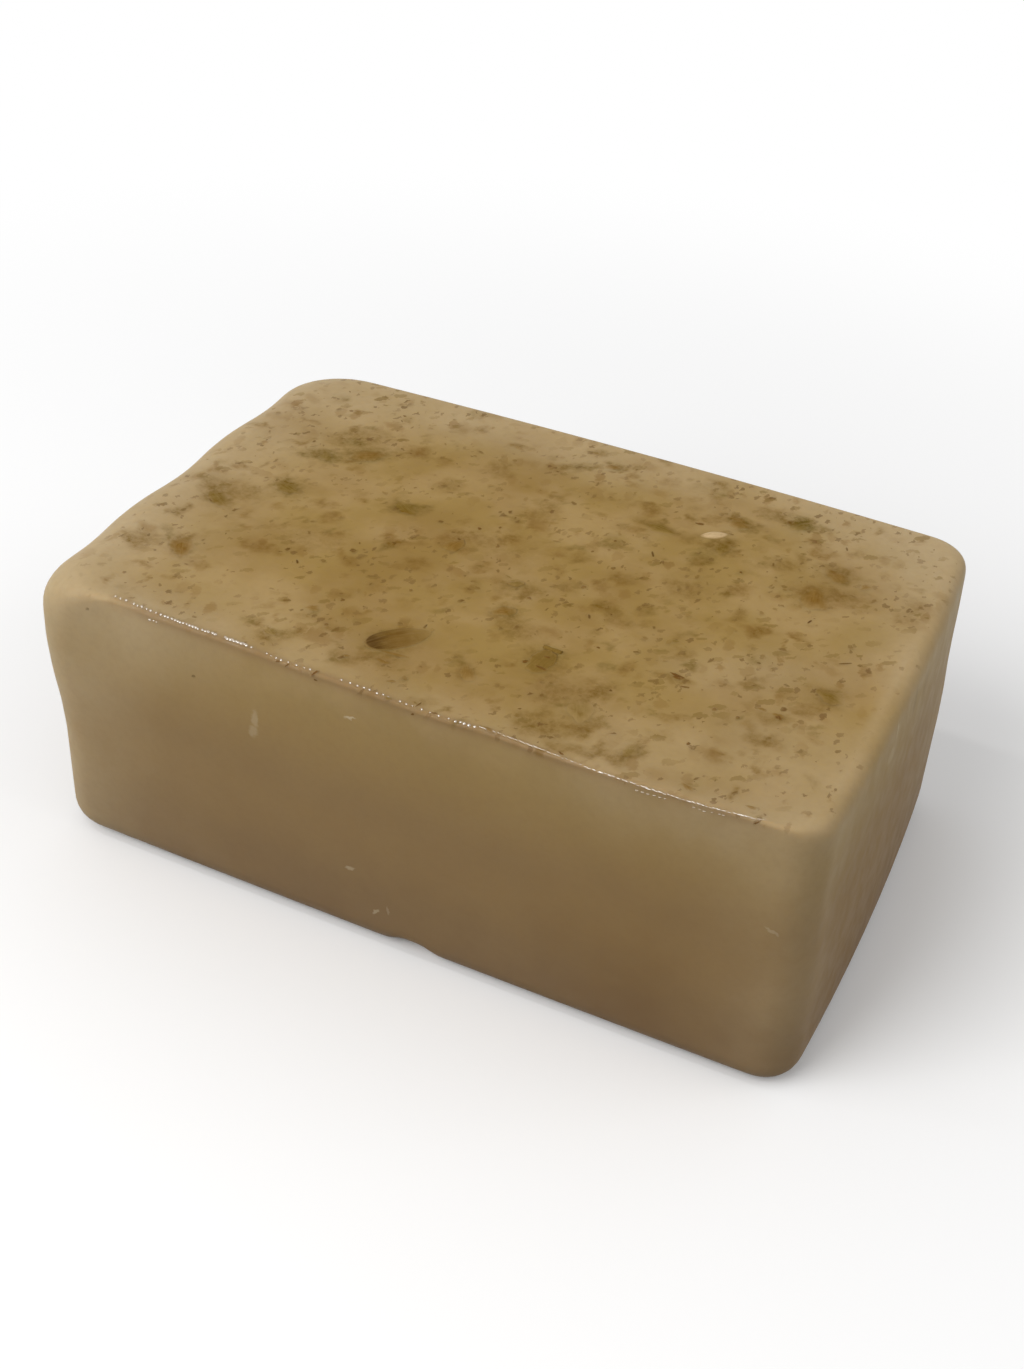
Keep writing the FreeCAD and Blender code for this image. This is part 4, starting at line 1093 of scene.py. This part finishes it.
def bud_shape(share, x, y, length, width, rise):
    """A low dome of husk leaves that run along the bud."""
    x, y = (x if x > 0 else -((-x) ** 0.62)) * share, y * share
    slim = 1.22 - 0.45 * max(x, 0) ** 2
    folds = 0.10 * math.cos(y * 13 + 2.5 * x) + 0.05 * noise.noise(Vector((x * 3, y * 7, 2)))
    dome = (1 - share ** 2) ** 0.75 * (1 - 0.45 * max(x, 0))
    lift = rise * min(dome * (0.92 + folds), 1) - 0.02 * MM * share ** 8
    return (x * length * 0.55 - 0.2 * MM, y * width / 2 * slim, lift), (x, y)


def bud_mesh():
    """A whole bud sunk on its side in the soap."""
    return domed_mesh("dried_bud", "flower_bud", 64, (0.46, 0.44, 0.2),
                      (1.0, 0.95, 0.88, 0.79, 0.68, 0.56, 0.43, 0.3, 0.16), bud_shape)


def bud_material():
    """A bud that is darkest round its foot and fades into the soap towards its tip."""
    material, tree, shader = new_material("dried_bud")
    soap = soap_here(tree)
    spread = put(tree, "ShaderNodeSeparateXYZ", {0: blade_of(tree)}).outputs
    along, across = spread["X"], spread["Y"]
    grain = place_group(tree, DRY_GRAIN, {"Blade": blade_of(tree), "Fibres": 6.0})
    ridge = worked(tree, "ADD", times(tree, along, 0.32), 0.27)
    off = worked(tree, "ABSOLUTE", worked(tree, "SUBTRACT", across, ridge))
    shown = times(tree, ramped(tree, off, 0.42, 0.08), ramped(tree, along, 0.85, 0.0))
    for part in (ramped(tree, along, -0.10, -0.72),
                 times(tree, ramped(tree, across, 0.45, 0.72), ramped(tree, along, 1.0, 0.2, 0.0, 0.7)),
                 ramped(tree, along, 0.95, -0.3, 0.15, 0.75)):
        shown = worked(tree, "MAXIMUM", shown, part)
    shown = times(tree, shown, ramped(tree, grain["Fibre"], 0.3, 0.6, 0.7, 1.0))
    shown = times(tree, shown, ramped(tree, carried(tree, "heart"), 0.0, 0.10))
    dark = blended(tree, ramped(tree, along, -0.05, -0.80),
                   solid(display(102, 72, 24)), solid(display(70, 44, 10)))
    finish_dry(tree, shader, blended(tree, times(tree, shown, 0.88), soap, dark), grain, 0.6)
    return material


# The rolled foot of the curled leaf: turns, steps of its spiral, loops along it and thickness in millimetres.
ROLL_TURNS, ROLL_STEPS, ROLL_ENDS, ROLL_THICKNESS = 1.35, 30, 7, 0.09


def spiral_roll(left, length, radius, lift):
    """A strip of leaf rolled on itself: the rows of a spiral with thickness, drawn along its own width."""
    rows = []
    loop = [(step, 0) for step in range(ROLL_STEPS + 1)]
    loop += [(step, ROLL_THICKNESS * MM) for step in range(ROLL_STEPS, -1, -1)]
    for end in range(ROLL_ENDS):
        across = (end / (ROLL_ENDS - 1) - 0.5) * length
        wobble = 1 + 0.08 * math.sin(end * 1.9)
        for number, (step, depth) in enumerate(loop):
            share = step / ROLL_STEPS
            angle = -math.pi / 2 - share * ROLL_TURNS * 2 * math.pi
            reach = radius * (1 - 0.45 * share) * wobble - depth
            point = (left + reach * math.cos(angle), across, lift + radius + reach * math.sin(angle))
            rows.append((point, 1.0, (number / 20, end)))
    return rows, tube(len(loop), ROLL_ENDS)


def curled_leaf_mesh():
    """A torn leaf that lies in the soap, with its foot rolled up."""
    (middle, turn, length, width, top, _), = solids_of("folded_leaf")
    rows, faces = flake(petal_edge, 40, length * 0.97, width * 0.97, 0.05 * MM, 0.2 * MM, random.Random(17))
    radius = (top - POUR_LEVEL + 0.5 * MM) / 2
    roll, roll_faces = spiral_roll(
        -length / 2 + radius * 1.05, width * 0.62, radius * 0.95, top - 2 * radius - POUR_LEVEL)
    faces += [tuple(len(rows) + v for v in face) for face in roll_faces]
    flakes = Flakes()
    flakes.add(turned_frame(pointing_right(turn), middle), rows + roll, faces, 0.6)
    flakes.tone[len(rows):] = [1.0] * len(roll)
    return flakes.mesh("curled_leaf")


def oat_shape(share, x, y, length, width, rise):
    """A flattened grain with the crease along its middle."""
    x, y = x * share, y * share * (1 - 0.25 * x ** 2)
    crease = 0.35 * math.exp(-(y / 0.13) ** 2) * (1 - x * x)
    lift = rise * (1 - share ** 2.2 - crease * (1 - share ** 4)) - 0.03 * MM * share
    return (x * length / 2, y * width / 2, lift), (x, y)


def oat_mesh():
    """A rolled oat."""
    return domed_mesh("rolled_oat", "oat_flake", 40, (0.42, 0.38, 0.1),
                      (1.0, 0.92, 0.8, 0.64, 0.46, 0.28, 0.12), oat_shape)


# ---------------------------------------------------------------- small flecks

def fleck_tree(material):
    """Node tree that scatters chips of husk over a bed: size, density and seed are its inputs."""
    tree, given, result = new_group("Strewn flecks", (
        ("Bed", BED, None), "Density", "Smallest", "Largest", "Thickness", ("Seed", "NodeSocketInt", None)),
        (("Flecks", BED),), "GeometryNodeTree")
    thickness = made(tree, "GeometryNodeInputNamedAttribute", {"Name": "strewn"}, data_type="FLOAT")
    fallen = put(tree, "GeometryNodeDistributePointsOnFaces", {
        "Mesh": given["Bed"], "Density": times(tree, given["Density"], thickness),
        "Seed": given["Seed"]}, distribute_method="RANDOM").outputs["Points"]
    chip = put(tree, "GeometryNodeMeshCylinder", {
        "Vertices": 10, "Radius": 0.5, "Depth": given["Thickness"]}, fill_type="TRIANGLE_FAN").outputs["Mesh"]
    spot = vectored(tree, "MULTIPLY", made(tree, "GeometryNodeInputPosition"), (2.0, 2.0, 0.0))
    chip = made(tree, "GeometryNodeStoreNamedAttribute", {
        "Geometry": chip, "Name": "heart", "Value": worked(tree, "SUBTRACT", 1.0, length_of(tree, spot))},
        data_type="FLOAT", domain="POINT")

    def drawn(kind, low, high, offset):
        """A random value or vector for each chip, from a seed of its own."""
        node = put(tree, "FunctionNodeRandomValue", {"Seed": worked(tree, "ADD", given["Seed"], offset)},
                   data_type=kind)
        for socket, value in zip((socket for socket in node.inputs if socket.enabled), (low, high)):
            socket.default_value = value
        return next(socket for socket in node.outputs if socket.enabled)

    spread = worked(tree, "SUBTRACT", given["Largest"], given["Smallest"])
    grown_by = times(tree, worked(tree, "POWER", drawn("FLOAT", 0.0, 1.0, 3), 2.4), spread)
    across = worked(tree, "ADD", given["Smallest"], grown_by)
    slim = times(tree, across, drawn("FLOAT", 0.25, 0.8, 5))
    chips = made(tree, "GeometryNodeInstanceOnPoints", {
        "Points": fallen, "Instance": chip,
        "Rotation": drawn("FLOAT_VECTOR", (-0.05, -0.05, 0.0), (0.05, 0.05, 2 * math.pi), 7),
        "Scale": made(tree, "ShaderNodeCombineXYZ", {0: across, 1: slim, 2: 1.0})})
    chips = made(tree, "GeometryNodeStoreNamedAttribute", {
        "Geometry": chips, "Name": "tone", "Value": drawn("FLOAT", 0.0, 1.0, 9)},
        data_type="FLOAT", domain="INSTANCE")
    loose = made(tree, "GeometryNodeRealizeInstances", {"Geometry": chips})
    rough = wander(tree, made(tree, "GeometryNodeInputPosition"), 3200.0, 3.0, 0.5, (0.7 * MM, 0.7 * MM, 0.02 * MM))
    loose = made(tree, "GeometryNodeSetPosition", {"Geometry": loose, "Offset": rough})
    loose = made(tree, "GeometryNodeSetMaterial", {"Geometry": loose, "Material": material})
    tree.links.new(loose, result["Flecks"])
    return tree


def grown(name, bed, tree, values):
    """The plain mesh that a tree grows on a bed, with the tree's inputs set by their identifiers."""
    holder = placed("bed", bed)
    modifier = holder.modifiers.new("growth", "NODES")
    modifier.node_group = tree
    names = {item.name: item.identifier for item in tree.interface.items_tree if item.in_out == "INPUT"}
    for title, value in values.items():
        modifier[names[title]] = value
    shown = holder.evaluated_get(bpy.context.evaluated_depsgraph_get())
    mesh = bpy.data.meshes.new_from_object(shown)
    holder.modifiers.remove(modifier)
    bpy.data.objects.remove(holder)
    bpy.data.meshes.remove(bed)
    mesh.name = name
    if not mesh.polygons:
        raise RuntimeError(f"{name}: nothing grew")
    return mesh


def fleck_bed():
    """The pour face of the finished soap as a bed, with how thickly the flecks lie."""
    soap = bpy.data.objects["soap_body"].data
    points = mesh_points(soap)
    on_pour = points[:, 2] > POUR_LEVEL - 0.12 * MM
    index = np.full(len(points), -1)
    index[on_pour] = np.arange(on_pour.sum())
    faces = [[index[v] for v in face.vertices] for face in soap.polygons if len(face.vertices) == 4]
    faces = [[int(v) for v in face] for face in faces if min(face) >= 0]
    bed = bpy.data.meshes.new("fleck_bed")
    bed.from_pydata(points[on_pour].tolist(), [], faces)
    x, y = (points[on_pour, :2] / MM).T
    patches = np.array([noise.noise(Vector((u, v, 7.0)) * 0.16) for u, v in zip(x, y)])
    bare = np.clip((25.2 - y) / 4.0, 0.0, 1.0)
    write_value(bed, "strewn", strewn_thickness(x, y) ** 0.6 * bare * np.clip(0.75 + patches * 1.3, 0.1, 1.6))
    return bed


def fleck_material():
    """Crisp chips, from nearly the soap's own brown to dark husk."""
    material, tree, shader = new_material("fine_husk")
    flecks = bpy.context.scene.shampoo_flecks
    tone = blended(tree, ramped(tree, carried(tree, "tone"), 0.0, 1.0), solid(flecks.petal), solid(flecks.husk))
    grain = place_group(tree, DRY_GRAIN, {"Blade": own_place(tree), "Fibres": 1.0})
    share = times(tree, worked(tree, "POWER", carried(tree, "tone"), 1.8), 0.54)
    share = worked(tree, "ADD", share, 0.20)
    share = times(tree, share, ramped(tree, cloudy(tree, own_place(tree), 2400.0, 2.0), 0.25, 0.6, 0.6, 1.0))
    share = times(tree, share, ramped(tree, carried(tree, "heart"), 0.0, 0.45))
    finish_dry(tree, shader, blended(tree, share, soap_here(tree), tone), grain, 0.5)
    return material


# ---------------------------------------------------------------- wet beads along the rim

# Where beads of oil stand on the front rim: from, to, how far apart, how long and how wide each is, and
# how far in from the rim they lie. Millimetres.
BEAD_ROWS = (
    (-30.4, -28.6, 0.66, 0.34, 0.34, 0.0), (-28.2, -24.6, 0.52, 0.36, 0.34, 0.05),
    (-24.6, -18.9, 0.38, 0.42, 0.32, 0.0), (-25.9, -24.8, 0.40, 0.30, 0.24, -1.0),
    (-17.9, -15.7, 0.26, 0.62, 0.38, 0.0), (-15.1, -14.8, 0.40, 0.36, 0.34, 0.0),
    (-13.4, -8.6, 0.70, 0.24, 0.20, -0.05), (-5.6, -0.6, 0.75, 0.26, 0.20, 0.0),
    (0.4, 5.4, 0.8, 0.24, 0.18, 0.0), (5.9, 7.7, 0.45, 0.32, 0.28, -0.1),
    (8.2, 19.6, 0.42, 0.56, 0.065, 0.0), (19.6, 33.9, 0.34, 0.62, 0.085, 0.0),
    (23.0, 25.6, 0.45, 0.40, 0.11, -0.55), (28.0, 30.6, 0.5, 0.40, 0.11, -0.5),
)
BEAD_SEED = 4
# How far a bead leans out over the rounded rim, in radians.
BEAD_TILT = 0.6


def bead_places():
    """Loose points on the skin of the rim where beads stand, each with its length, width and turn."""
    chance = random.Random(BEAD_SEED)
    skin = surface_of(bpy.data.objects["soap_body"].data)
    flatness = bpy.context.scene.shampoo_soap.bead_flatness
    places, sizes = [], []
    for start, end, pitch, length, width, inward in BEAD_ROWS:
        along = start
        while along < end:
            x = along * MM
            y, ahead = rim_at(x), rim_at(x + MM)
            y += (inward + 0.12 + chance.uniform(-0.05, 0.05)) * MM
            hit = skin.ray_cast(Vector((x, y - 10 * MM, LIP_LEVEL + 10 * MM)), Vector((0, 1, -1)))[0]
            if hit is None:
                raise RuntimeError("a bead found no rim to stand on")
            size = chance.uniform(0.6, 1.15)
            reach = width * size * MM / 2 * math.hypot(math.sin(BEAD_TILT), math.cos(BEAD_TILT) * flatness)
            hit.z = min(hit.z, CAD_HIGH.z - reach - 0.01 * MM)
            places.append(hit)
            sizes.append((length * size * MM, width * size * MM, math.atan2(ahead - y, MM)))
            along += pitch * chance.uniform(0.7, 1.3)
    mesh = bpy.data.meshes.new("bead_places")
    mesh.from_pydata(places, [], [])
    for name, values in zip(("run", "girth", "turn"), zip(*sizes)):
        write_value(mesh, name, values)
    return mesh


def bead_tree(material):
    """Node tree that stands a flattened bead on every place, as long, wide and turned as it says."""
    tree, given, result = new_group(
        "Rim beads", (("Places", BED, None), "Flatness"), (("Beads", BED),), "GeometryNodeTree")
    run, girth, turn = (made(tree, "GeometryNodeInputNamedAttribute", {"Name": name}, data_type="FLOAT")
                        for name in ("run", "girth", "turn"))
    bead = put(tree, "GeometryNodeMeshUVSphere", {"Segments": 8, "Rings": 6, "Radius": 0.5}).outputs["Mesh"]
    high = times(tree, girth, given["Flatness"])
    beads = made(tree, "GeometryNodeInstanceOnPoints", {
        "Points": given["Places"], "Instance": bead,
        "Rotation": made(tree, "ShaderNodeCombineXYZ", {0: BEAD_TILT, 1: 0.0, 2: turn}),
        "Scale": made(tree, "ShaderNodeCombineXYZ", {0: run, 1: girth, 2: high})})
    beads = made(tree, "GeometryNodeRealizeInstances", {"Geometry": beads})
    beads = made(tree, "GeometryNodeSetShadeSmooth", {"Geometry": beads})
    beads = made(tree, "GeometryNodeSetMaterial", {"Geometry": beads, "Material": material})
    tree.links.new(beads, result["Beads"])
    return tree


def bead_material():
    """Wet soap: the soap's colour, with pale spots that are partly dried lather and partly a painted highlight, under
    a hard shine.
    """
    material, tree, shader = new_material("wet_rim")
    veil = bpy.context.scene.shampoo_soap.veil
    lather_and_highlight = ramped(tree, cloudy(tree, own_place(tree), 3000.0, 2.0), 0.3, 0.7, 0.0, 0.35)
    patch = place_group(tree, WAXY_SKIN, {"Place": own_place(tree)})["Patch"]
    finish(tree, shader, {
        "Base Color": blended(tree, lather_and_highlight, soap_here(tree), solid(veil)),
        "Roughness": ramped(tree, patch, 0.3, 0.7, 0.08, 0.16),
        "Coat Weight": 1.0, "Coat Roughness": 0.05, "Coat IOR": 2.8})
    return material


# ---------------------------------------------------------------- operators

class SHAMPOO_OT_soap(bpy.types.Operator):
    """Cast the soap: one closed skin with its wandering rim and its stains"""

    bl_idname = "shampoo.soap"
    bl_label = "Soap"

    def execute(self, context):
        kept_piece(cast_soap_mesh(), soap_material(), "soap", "soap_bar")
        return {"FINISHED"}


class SHAMPOO_OT_flat_flakes(bpy.types.Operator):
    """Lay the larger torn flakes of leaf and petal in the pour face"""

    bl_idname = "shampoo.flat_flakes"
    bl_label = "Leaf and petal flakes"

    def execute(self, context):
        flecks = context.scene.shampoo_flecks
        kept_piece(strewn_mesh("leaf_scraps", "leaf_flakes", leaf_edge, 34, 3, 0.06 * MM, 1.05),
                   flake_material("dried_leaf", flecks.leaf, display(126, 102, 46), 0.8, 0.75, 7.0),
                   "dried_leaf", "leaf_flakes")
        kept_piece(strewn_mesh("petal_scraps", "petal_flakes", petal_edge, 34, 8, 0.06 * MM, 1.05),
                   flake_material("dried_petal", flecks.petal, display(132, 98, 40), 0.8, 0.75, 9.0),
                   "dried_petal", "petal_flakes")
        return {"FINISHED"}


class SHAMPOO_OT_crumbs(bpy.types.Operator):
    """Lay the dark crumbs of husk and the slivers of stalk"""

    bl_idname = "shampoo.crumbs"
    bl_label = "Crumbs and slivers"

    def execute(self, context):
        kept_piece(strewn_mesh("husk_bits", "husk_crumbs", crumb_edge, 16, 21, 0.05 * MM, 0.6),
                   flake_material("husk", display(82, 46, 8), display(112, 72, 22), 0.5, 0.85, 3.0),
                   "husk", "husk_crumbs")
        kept_piece(strewn_mesh("stalk_bits", "stalk_slivers", sliver_edge, 18, 30, 0.06 * MM, 0.85),
                   flake_material("stalk", display(72, 42, 8), display(98, 64, 18), 0.35, 0.9, 8.0),
                   "husk", "stalk_slivers")
        return {"FINISHED"}


class SHAMPOO_OT_large_pieces(bpy.types.Operator):
    """Lay the bud, the curled leaf and the rolled oat in the pour face"""

    bl_idname = "shampoo.large_pieces"
    bl_label = "Bud, curled leaf and oat"

    def execute(self, context):
        flecks = context.scene.shampoo_flecks
        kept_piece(bud_mesh(), bud_material(), "dried_bud", "flower_bud")
        leaf = flake_material("curled_leaf", display(108, 82, 28), display(122, 94, 38), 0.25, 0.75, 6.0, 0.45)
        kept_piece(curled_leaf_mesh(), leaf, "dried_leaf", "folded_leaf")
        oat = flake_material("oat", flecks.oat, display(190, 162, 120), 0.35, 1.0, 5.0)
        kept_piece(oat_mesh(), oat, "oat", "oat_flake")
        return {"FINISHED"}


class SHAMPOO_OT_laid_flakes(bpy.types.Operator):
    """Lay the small flakes that lie apart: beside the leaf and the bud, by the oat and along the rim"""

    bl_idname = "shampoo.laid_flakes"
    bl_label = "Small laid flakes"

    def execute(self, context):
        for name, rows, edge_of, seed, like, slot in (
                ("laid_husk", LAID_HUSK, crumb_edge, 41, "husk_bits", "husk"),
                ("laid_leaf", LAID_LEAF, leaf_edge, 42, "leaf_scraps", "dried_leaf"),
                ("laid_petal", LAID_PETAL, petal_edge, 43, "petal_scraps", "dried_petal")):
            material = bpy.data.objects[like].data.materials[0]
            kept_piece(laid_mesh(name, rows, edge_of, seed), material, slot)
        return {"FINISHED"}


class SHAMPOO_OT_fine_flecks(bpy.types.Operator):
    """Scatter the small chips of husk over the pour face"""

    bl_idname = "shampoo.fine_flecks"
    bl_label = "Fine flecks"

    def execute(self, context):
        flecks = context.scene.shampoo_flecks
        mesh = grown("fine_flecks", fleck_bed(), fleck_tree(fleck_material()), {
            "Density": flecks.density, "Smallest": flecks.smallest, "Largest": flecks.largest,
            "Thickness": 0.03 * MM, "Seed": flecks.seed})
        paint(mesh)
        kept_piece(mesh, None, "husk")
        return {"FINISHED"}


class SHAMPOO_OT_rim_beads(bpy.types.Operator):
    """Stand the small wet beads along the front rim"""

    bl_idname = "shampoo.rim_beads"
    bl_label = "Beads on the rim"

    def execute(self, context):
        mesh = grown("rim_beads", bead_places(), bead_tree(bead_material()), {
            "Flatness": context.scene.shampoo_soap.bead_flatness})
        paint(mesh)
        kept_piece(mesh, None, "soap")
        return {"FINISHED"}


class SHAMPOO_OT_stage(bpy.types.Operator):
    """Set the pale floor, the soft light and the camera"""

    bl_idname = "shampoo.stage"
    bl_label = "Stage"

    def execute(self, context):
        stage_floor()
        stage_world()
        stage_lamps()
        stage_camera()
        context.scene.view_settings.view_transform = "Standard"
        return {"FINISHED"}


# ---------------------------------------------------------------- stage

def seen_directly(tree):
    """1 for what the camera, a gloss or a clear piece sees, 0 for light thrown back on the bar."""
    path = put(tree, "ShaderNodeLightPath").outputs
    seen = worked(tree, "MAXIMUM", path["Is Camera Ray"], path["Is Glossy Ray"])
    return worked(tree, "MAXIMUM", seen, path["Is Transmission Ray"])


# Half the side of the floor, in metres.
FLOOR_REACH = 3.0


def stage_floor():
    """A wide plain floor that the bar stands on, which fades to white away from it."""
    settings = bpy.context.scene.shampoo_stage
    mesh = bpy.data.meshes.new("floor")
    corners = ((-1, -1), (1, -1), (1, 1), (-1, 1))
    mesh.from_pydata([(x * FLOOR_REACH, y * FLOOR_REACH, 0) for x, y in corners], [], [(0, 1, 2, 3)])
    material, tree, shader = new_material("floor")
    seen = seen_directly(tree)
    finish(tree, shader, {
        "Base Color": blended(tree, seen, solid((settings.floor_bounce,) * 3), solid((settings.floor,) * 3)),
        "Roughness": 0.9, "Specular IOR Level": 0.0})
    away = times(tree, ramped(tree, length_of(tree, own_place(tree)), 0.06, 0.20), seen)
    white = made(tree, "ShaderNodeEmission", {"Color": (1, 1, 1, 1), "Strength": 1.0})
    mixed = made(tree, "ShaderNodeMixShader", {0: away, 1: shader.outputs[0], 2: white})
    output = next(node for node in tree.nodes if node.type == "OUTPUT_MATERIAL")
    tree.links.new(mixed, output.inputs["Surface"])
    mesh.materials.append(material)
    placed("floor", mesh)


def stage_world():
    """Even light from all round, white where it is seen."""
    world = bpy.data.worlds.new("studio")
    world.use_nodes = True
    tree = world.node_tree
    tree.nodes.clear()
    strength = ramped(tree, seen_directly(tree), 0.0, 1.0, bpy.context.scene.shampoo_stage.sky, 1.0)
    light = made(tree, "ShaderNodeBackground", {"Color": (1, 1, 1, 1), "Strength": strength})
    put(tree, "ShaderNodeOutputWorld", {"Surface": light})
    bpy.context.scene.world = world


# Each lamp: name, place, what it looks at, its two sides and its power in watts.
LAMPS = (
    ("key", (-0.26, -0.44, 0.44), (0, 0, 0.02), (0.42, 0.42), 2.75),
    ("fill", (0.52, 0.12, 0.40), (0, 0, 0.02), (0.50, 0.40), 0.6),
    ("rim_strip", (-0.14, -0.12, 0.42), (-0.14, -0.026, 0.03), (0.26, 0.02), 0.15),
)


def stage_lamps():
    """A large soft lamp above, a weak one to the right and a narrow strip for the rim's shine."""
    for name, place, target, sides, power in LAMPS:
        lamp = bpy.data.lights.new(name, "AREA")
        lamp.shape = "RECTANGLE"
        lamp.size, lamp.size_y = sides
        lamp.energy = power
        holder = placed(name, lamp)
        holder.location = place
        holder.rotation_euler = (Vector(target) - Vector(place)).to_track_quat("-Z", "Y").to_euler()


# The photographer's view: the camera's place in metres and its turn in degrees.
CAMERA_PLACE = (0.0566, -0.135854, 0.124617)
CAMERA_TURN = (53.6893, -3.2984, 25.2052)


def stage_camera():
    """The camera, a little above the bar and off its front right corner."""
    camera = bpy.data.cameras.new("camera")
    camera.sensor_fit = "VERTICAL"
    camera.sensor_height = 36.0
    camera.lens = bpy.context.scene.shampoo_stage.lens
    camera.clip_start, camera.clip_end = 0.01, 20.0
    holder = placed("camera", camera)
    holder.location = CAMERA_PLACE
    holder.rotation_euler = Euler([math.radians(turn) for turn in CAMERA_TURN], "XYZ")
    bpy.context.scene.camera = holder


# ---------------------------------------------------------------- panel and registration

class SHAMPOO_PT_bar(bpy.types.Panel):
    """Lists the steps that dress the bar"""

    bl_idname = "SHAMPOO_PT_bar"
    bl_label = "Shampoo Bar"
    bl_space_type = "VIEW_3D"
    bl_region_type = "UI"
    bl_category = "Shampoo Bar"

    def draw(self, context):
        for operator in OPERATORS:
            self.layout.operator(operator.bl_idname)
        for settings in (context.scene.shampoo_soap, context.scene.shampoo_flecks, context.scene.shampoo_stage):
            box = self.layout.box()
            for name in settings.bl_rna.properties.keys():
                if name not in ("rna_type", "name"):
                    box.prop(settings, name)


SETTINGS = {"shampoo_soap": ShampooSoap, "shampoo_flecks": ShampooFlecks, "shampoo_stage": ShampooStage}
OPERATORS = (SHAMPOO_OT_stage, SHAMPOO_OT_soap, SHAMPOO_OT_flat_flakes, SHAMPOO_OT_crumbs,
             SHAMPOO_OT_large_pieces, SHAMPOO_OT_laid_flakes, SHAMPOO_OT_fine_flecks, SHAMPOO_OT_rim_beads)


def register():
    for group in SETTINGS.values():
        bpy.utils.register_class(group)
    for name, group in SETTINGS.items():
        setattr(bpy.types.Scene, name, bpy.props.PointerProperty(type=group))
    for item in (*OPERATORS, SHAMPOO_PT_bar):
        bpy.utils.register_class(item)


def unregister():
    for item in (SHAMPOO_PT_bar, *reversed(OPERATORS)):
        bpy.utils.unregister_class(item)
    for name in SETTINGS:
        delattr(bpy.types.Scene, name)
    for group in SETTINGS.values():
        bpy.utils.unregister_class(group)


def main():
    """Dress the bar."""
    register()
    soap_tone_group()
    soft_specks_group()
    waxy_skin_group()
    wall_mark_group()
    dry_grain_group()
    bpy.ops.shampoo.stage()
    bpy.ops.shampoo.soap()
    bpy.ops.shampoo.flat_flakes()
    bpy.ops.shampoo.crumbs()
    bpy.ops.shampoo.large_pieces()
    bpy.ops.shampoo.laid_flakes()
    bpy.ops.shampoo.fine_flecks()
    bpy.ops.shampoo.rim_beads()


if __name__ == "__main__":
    main()
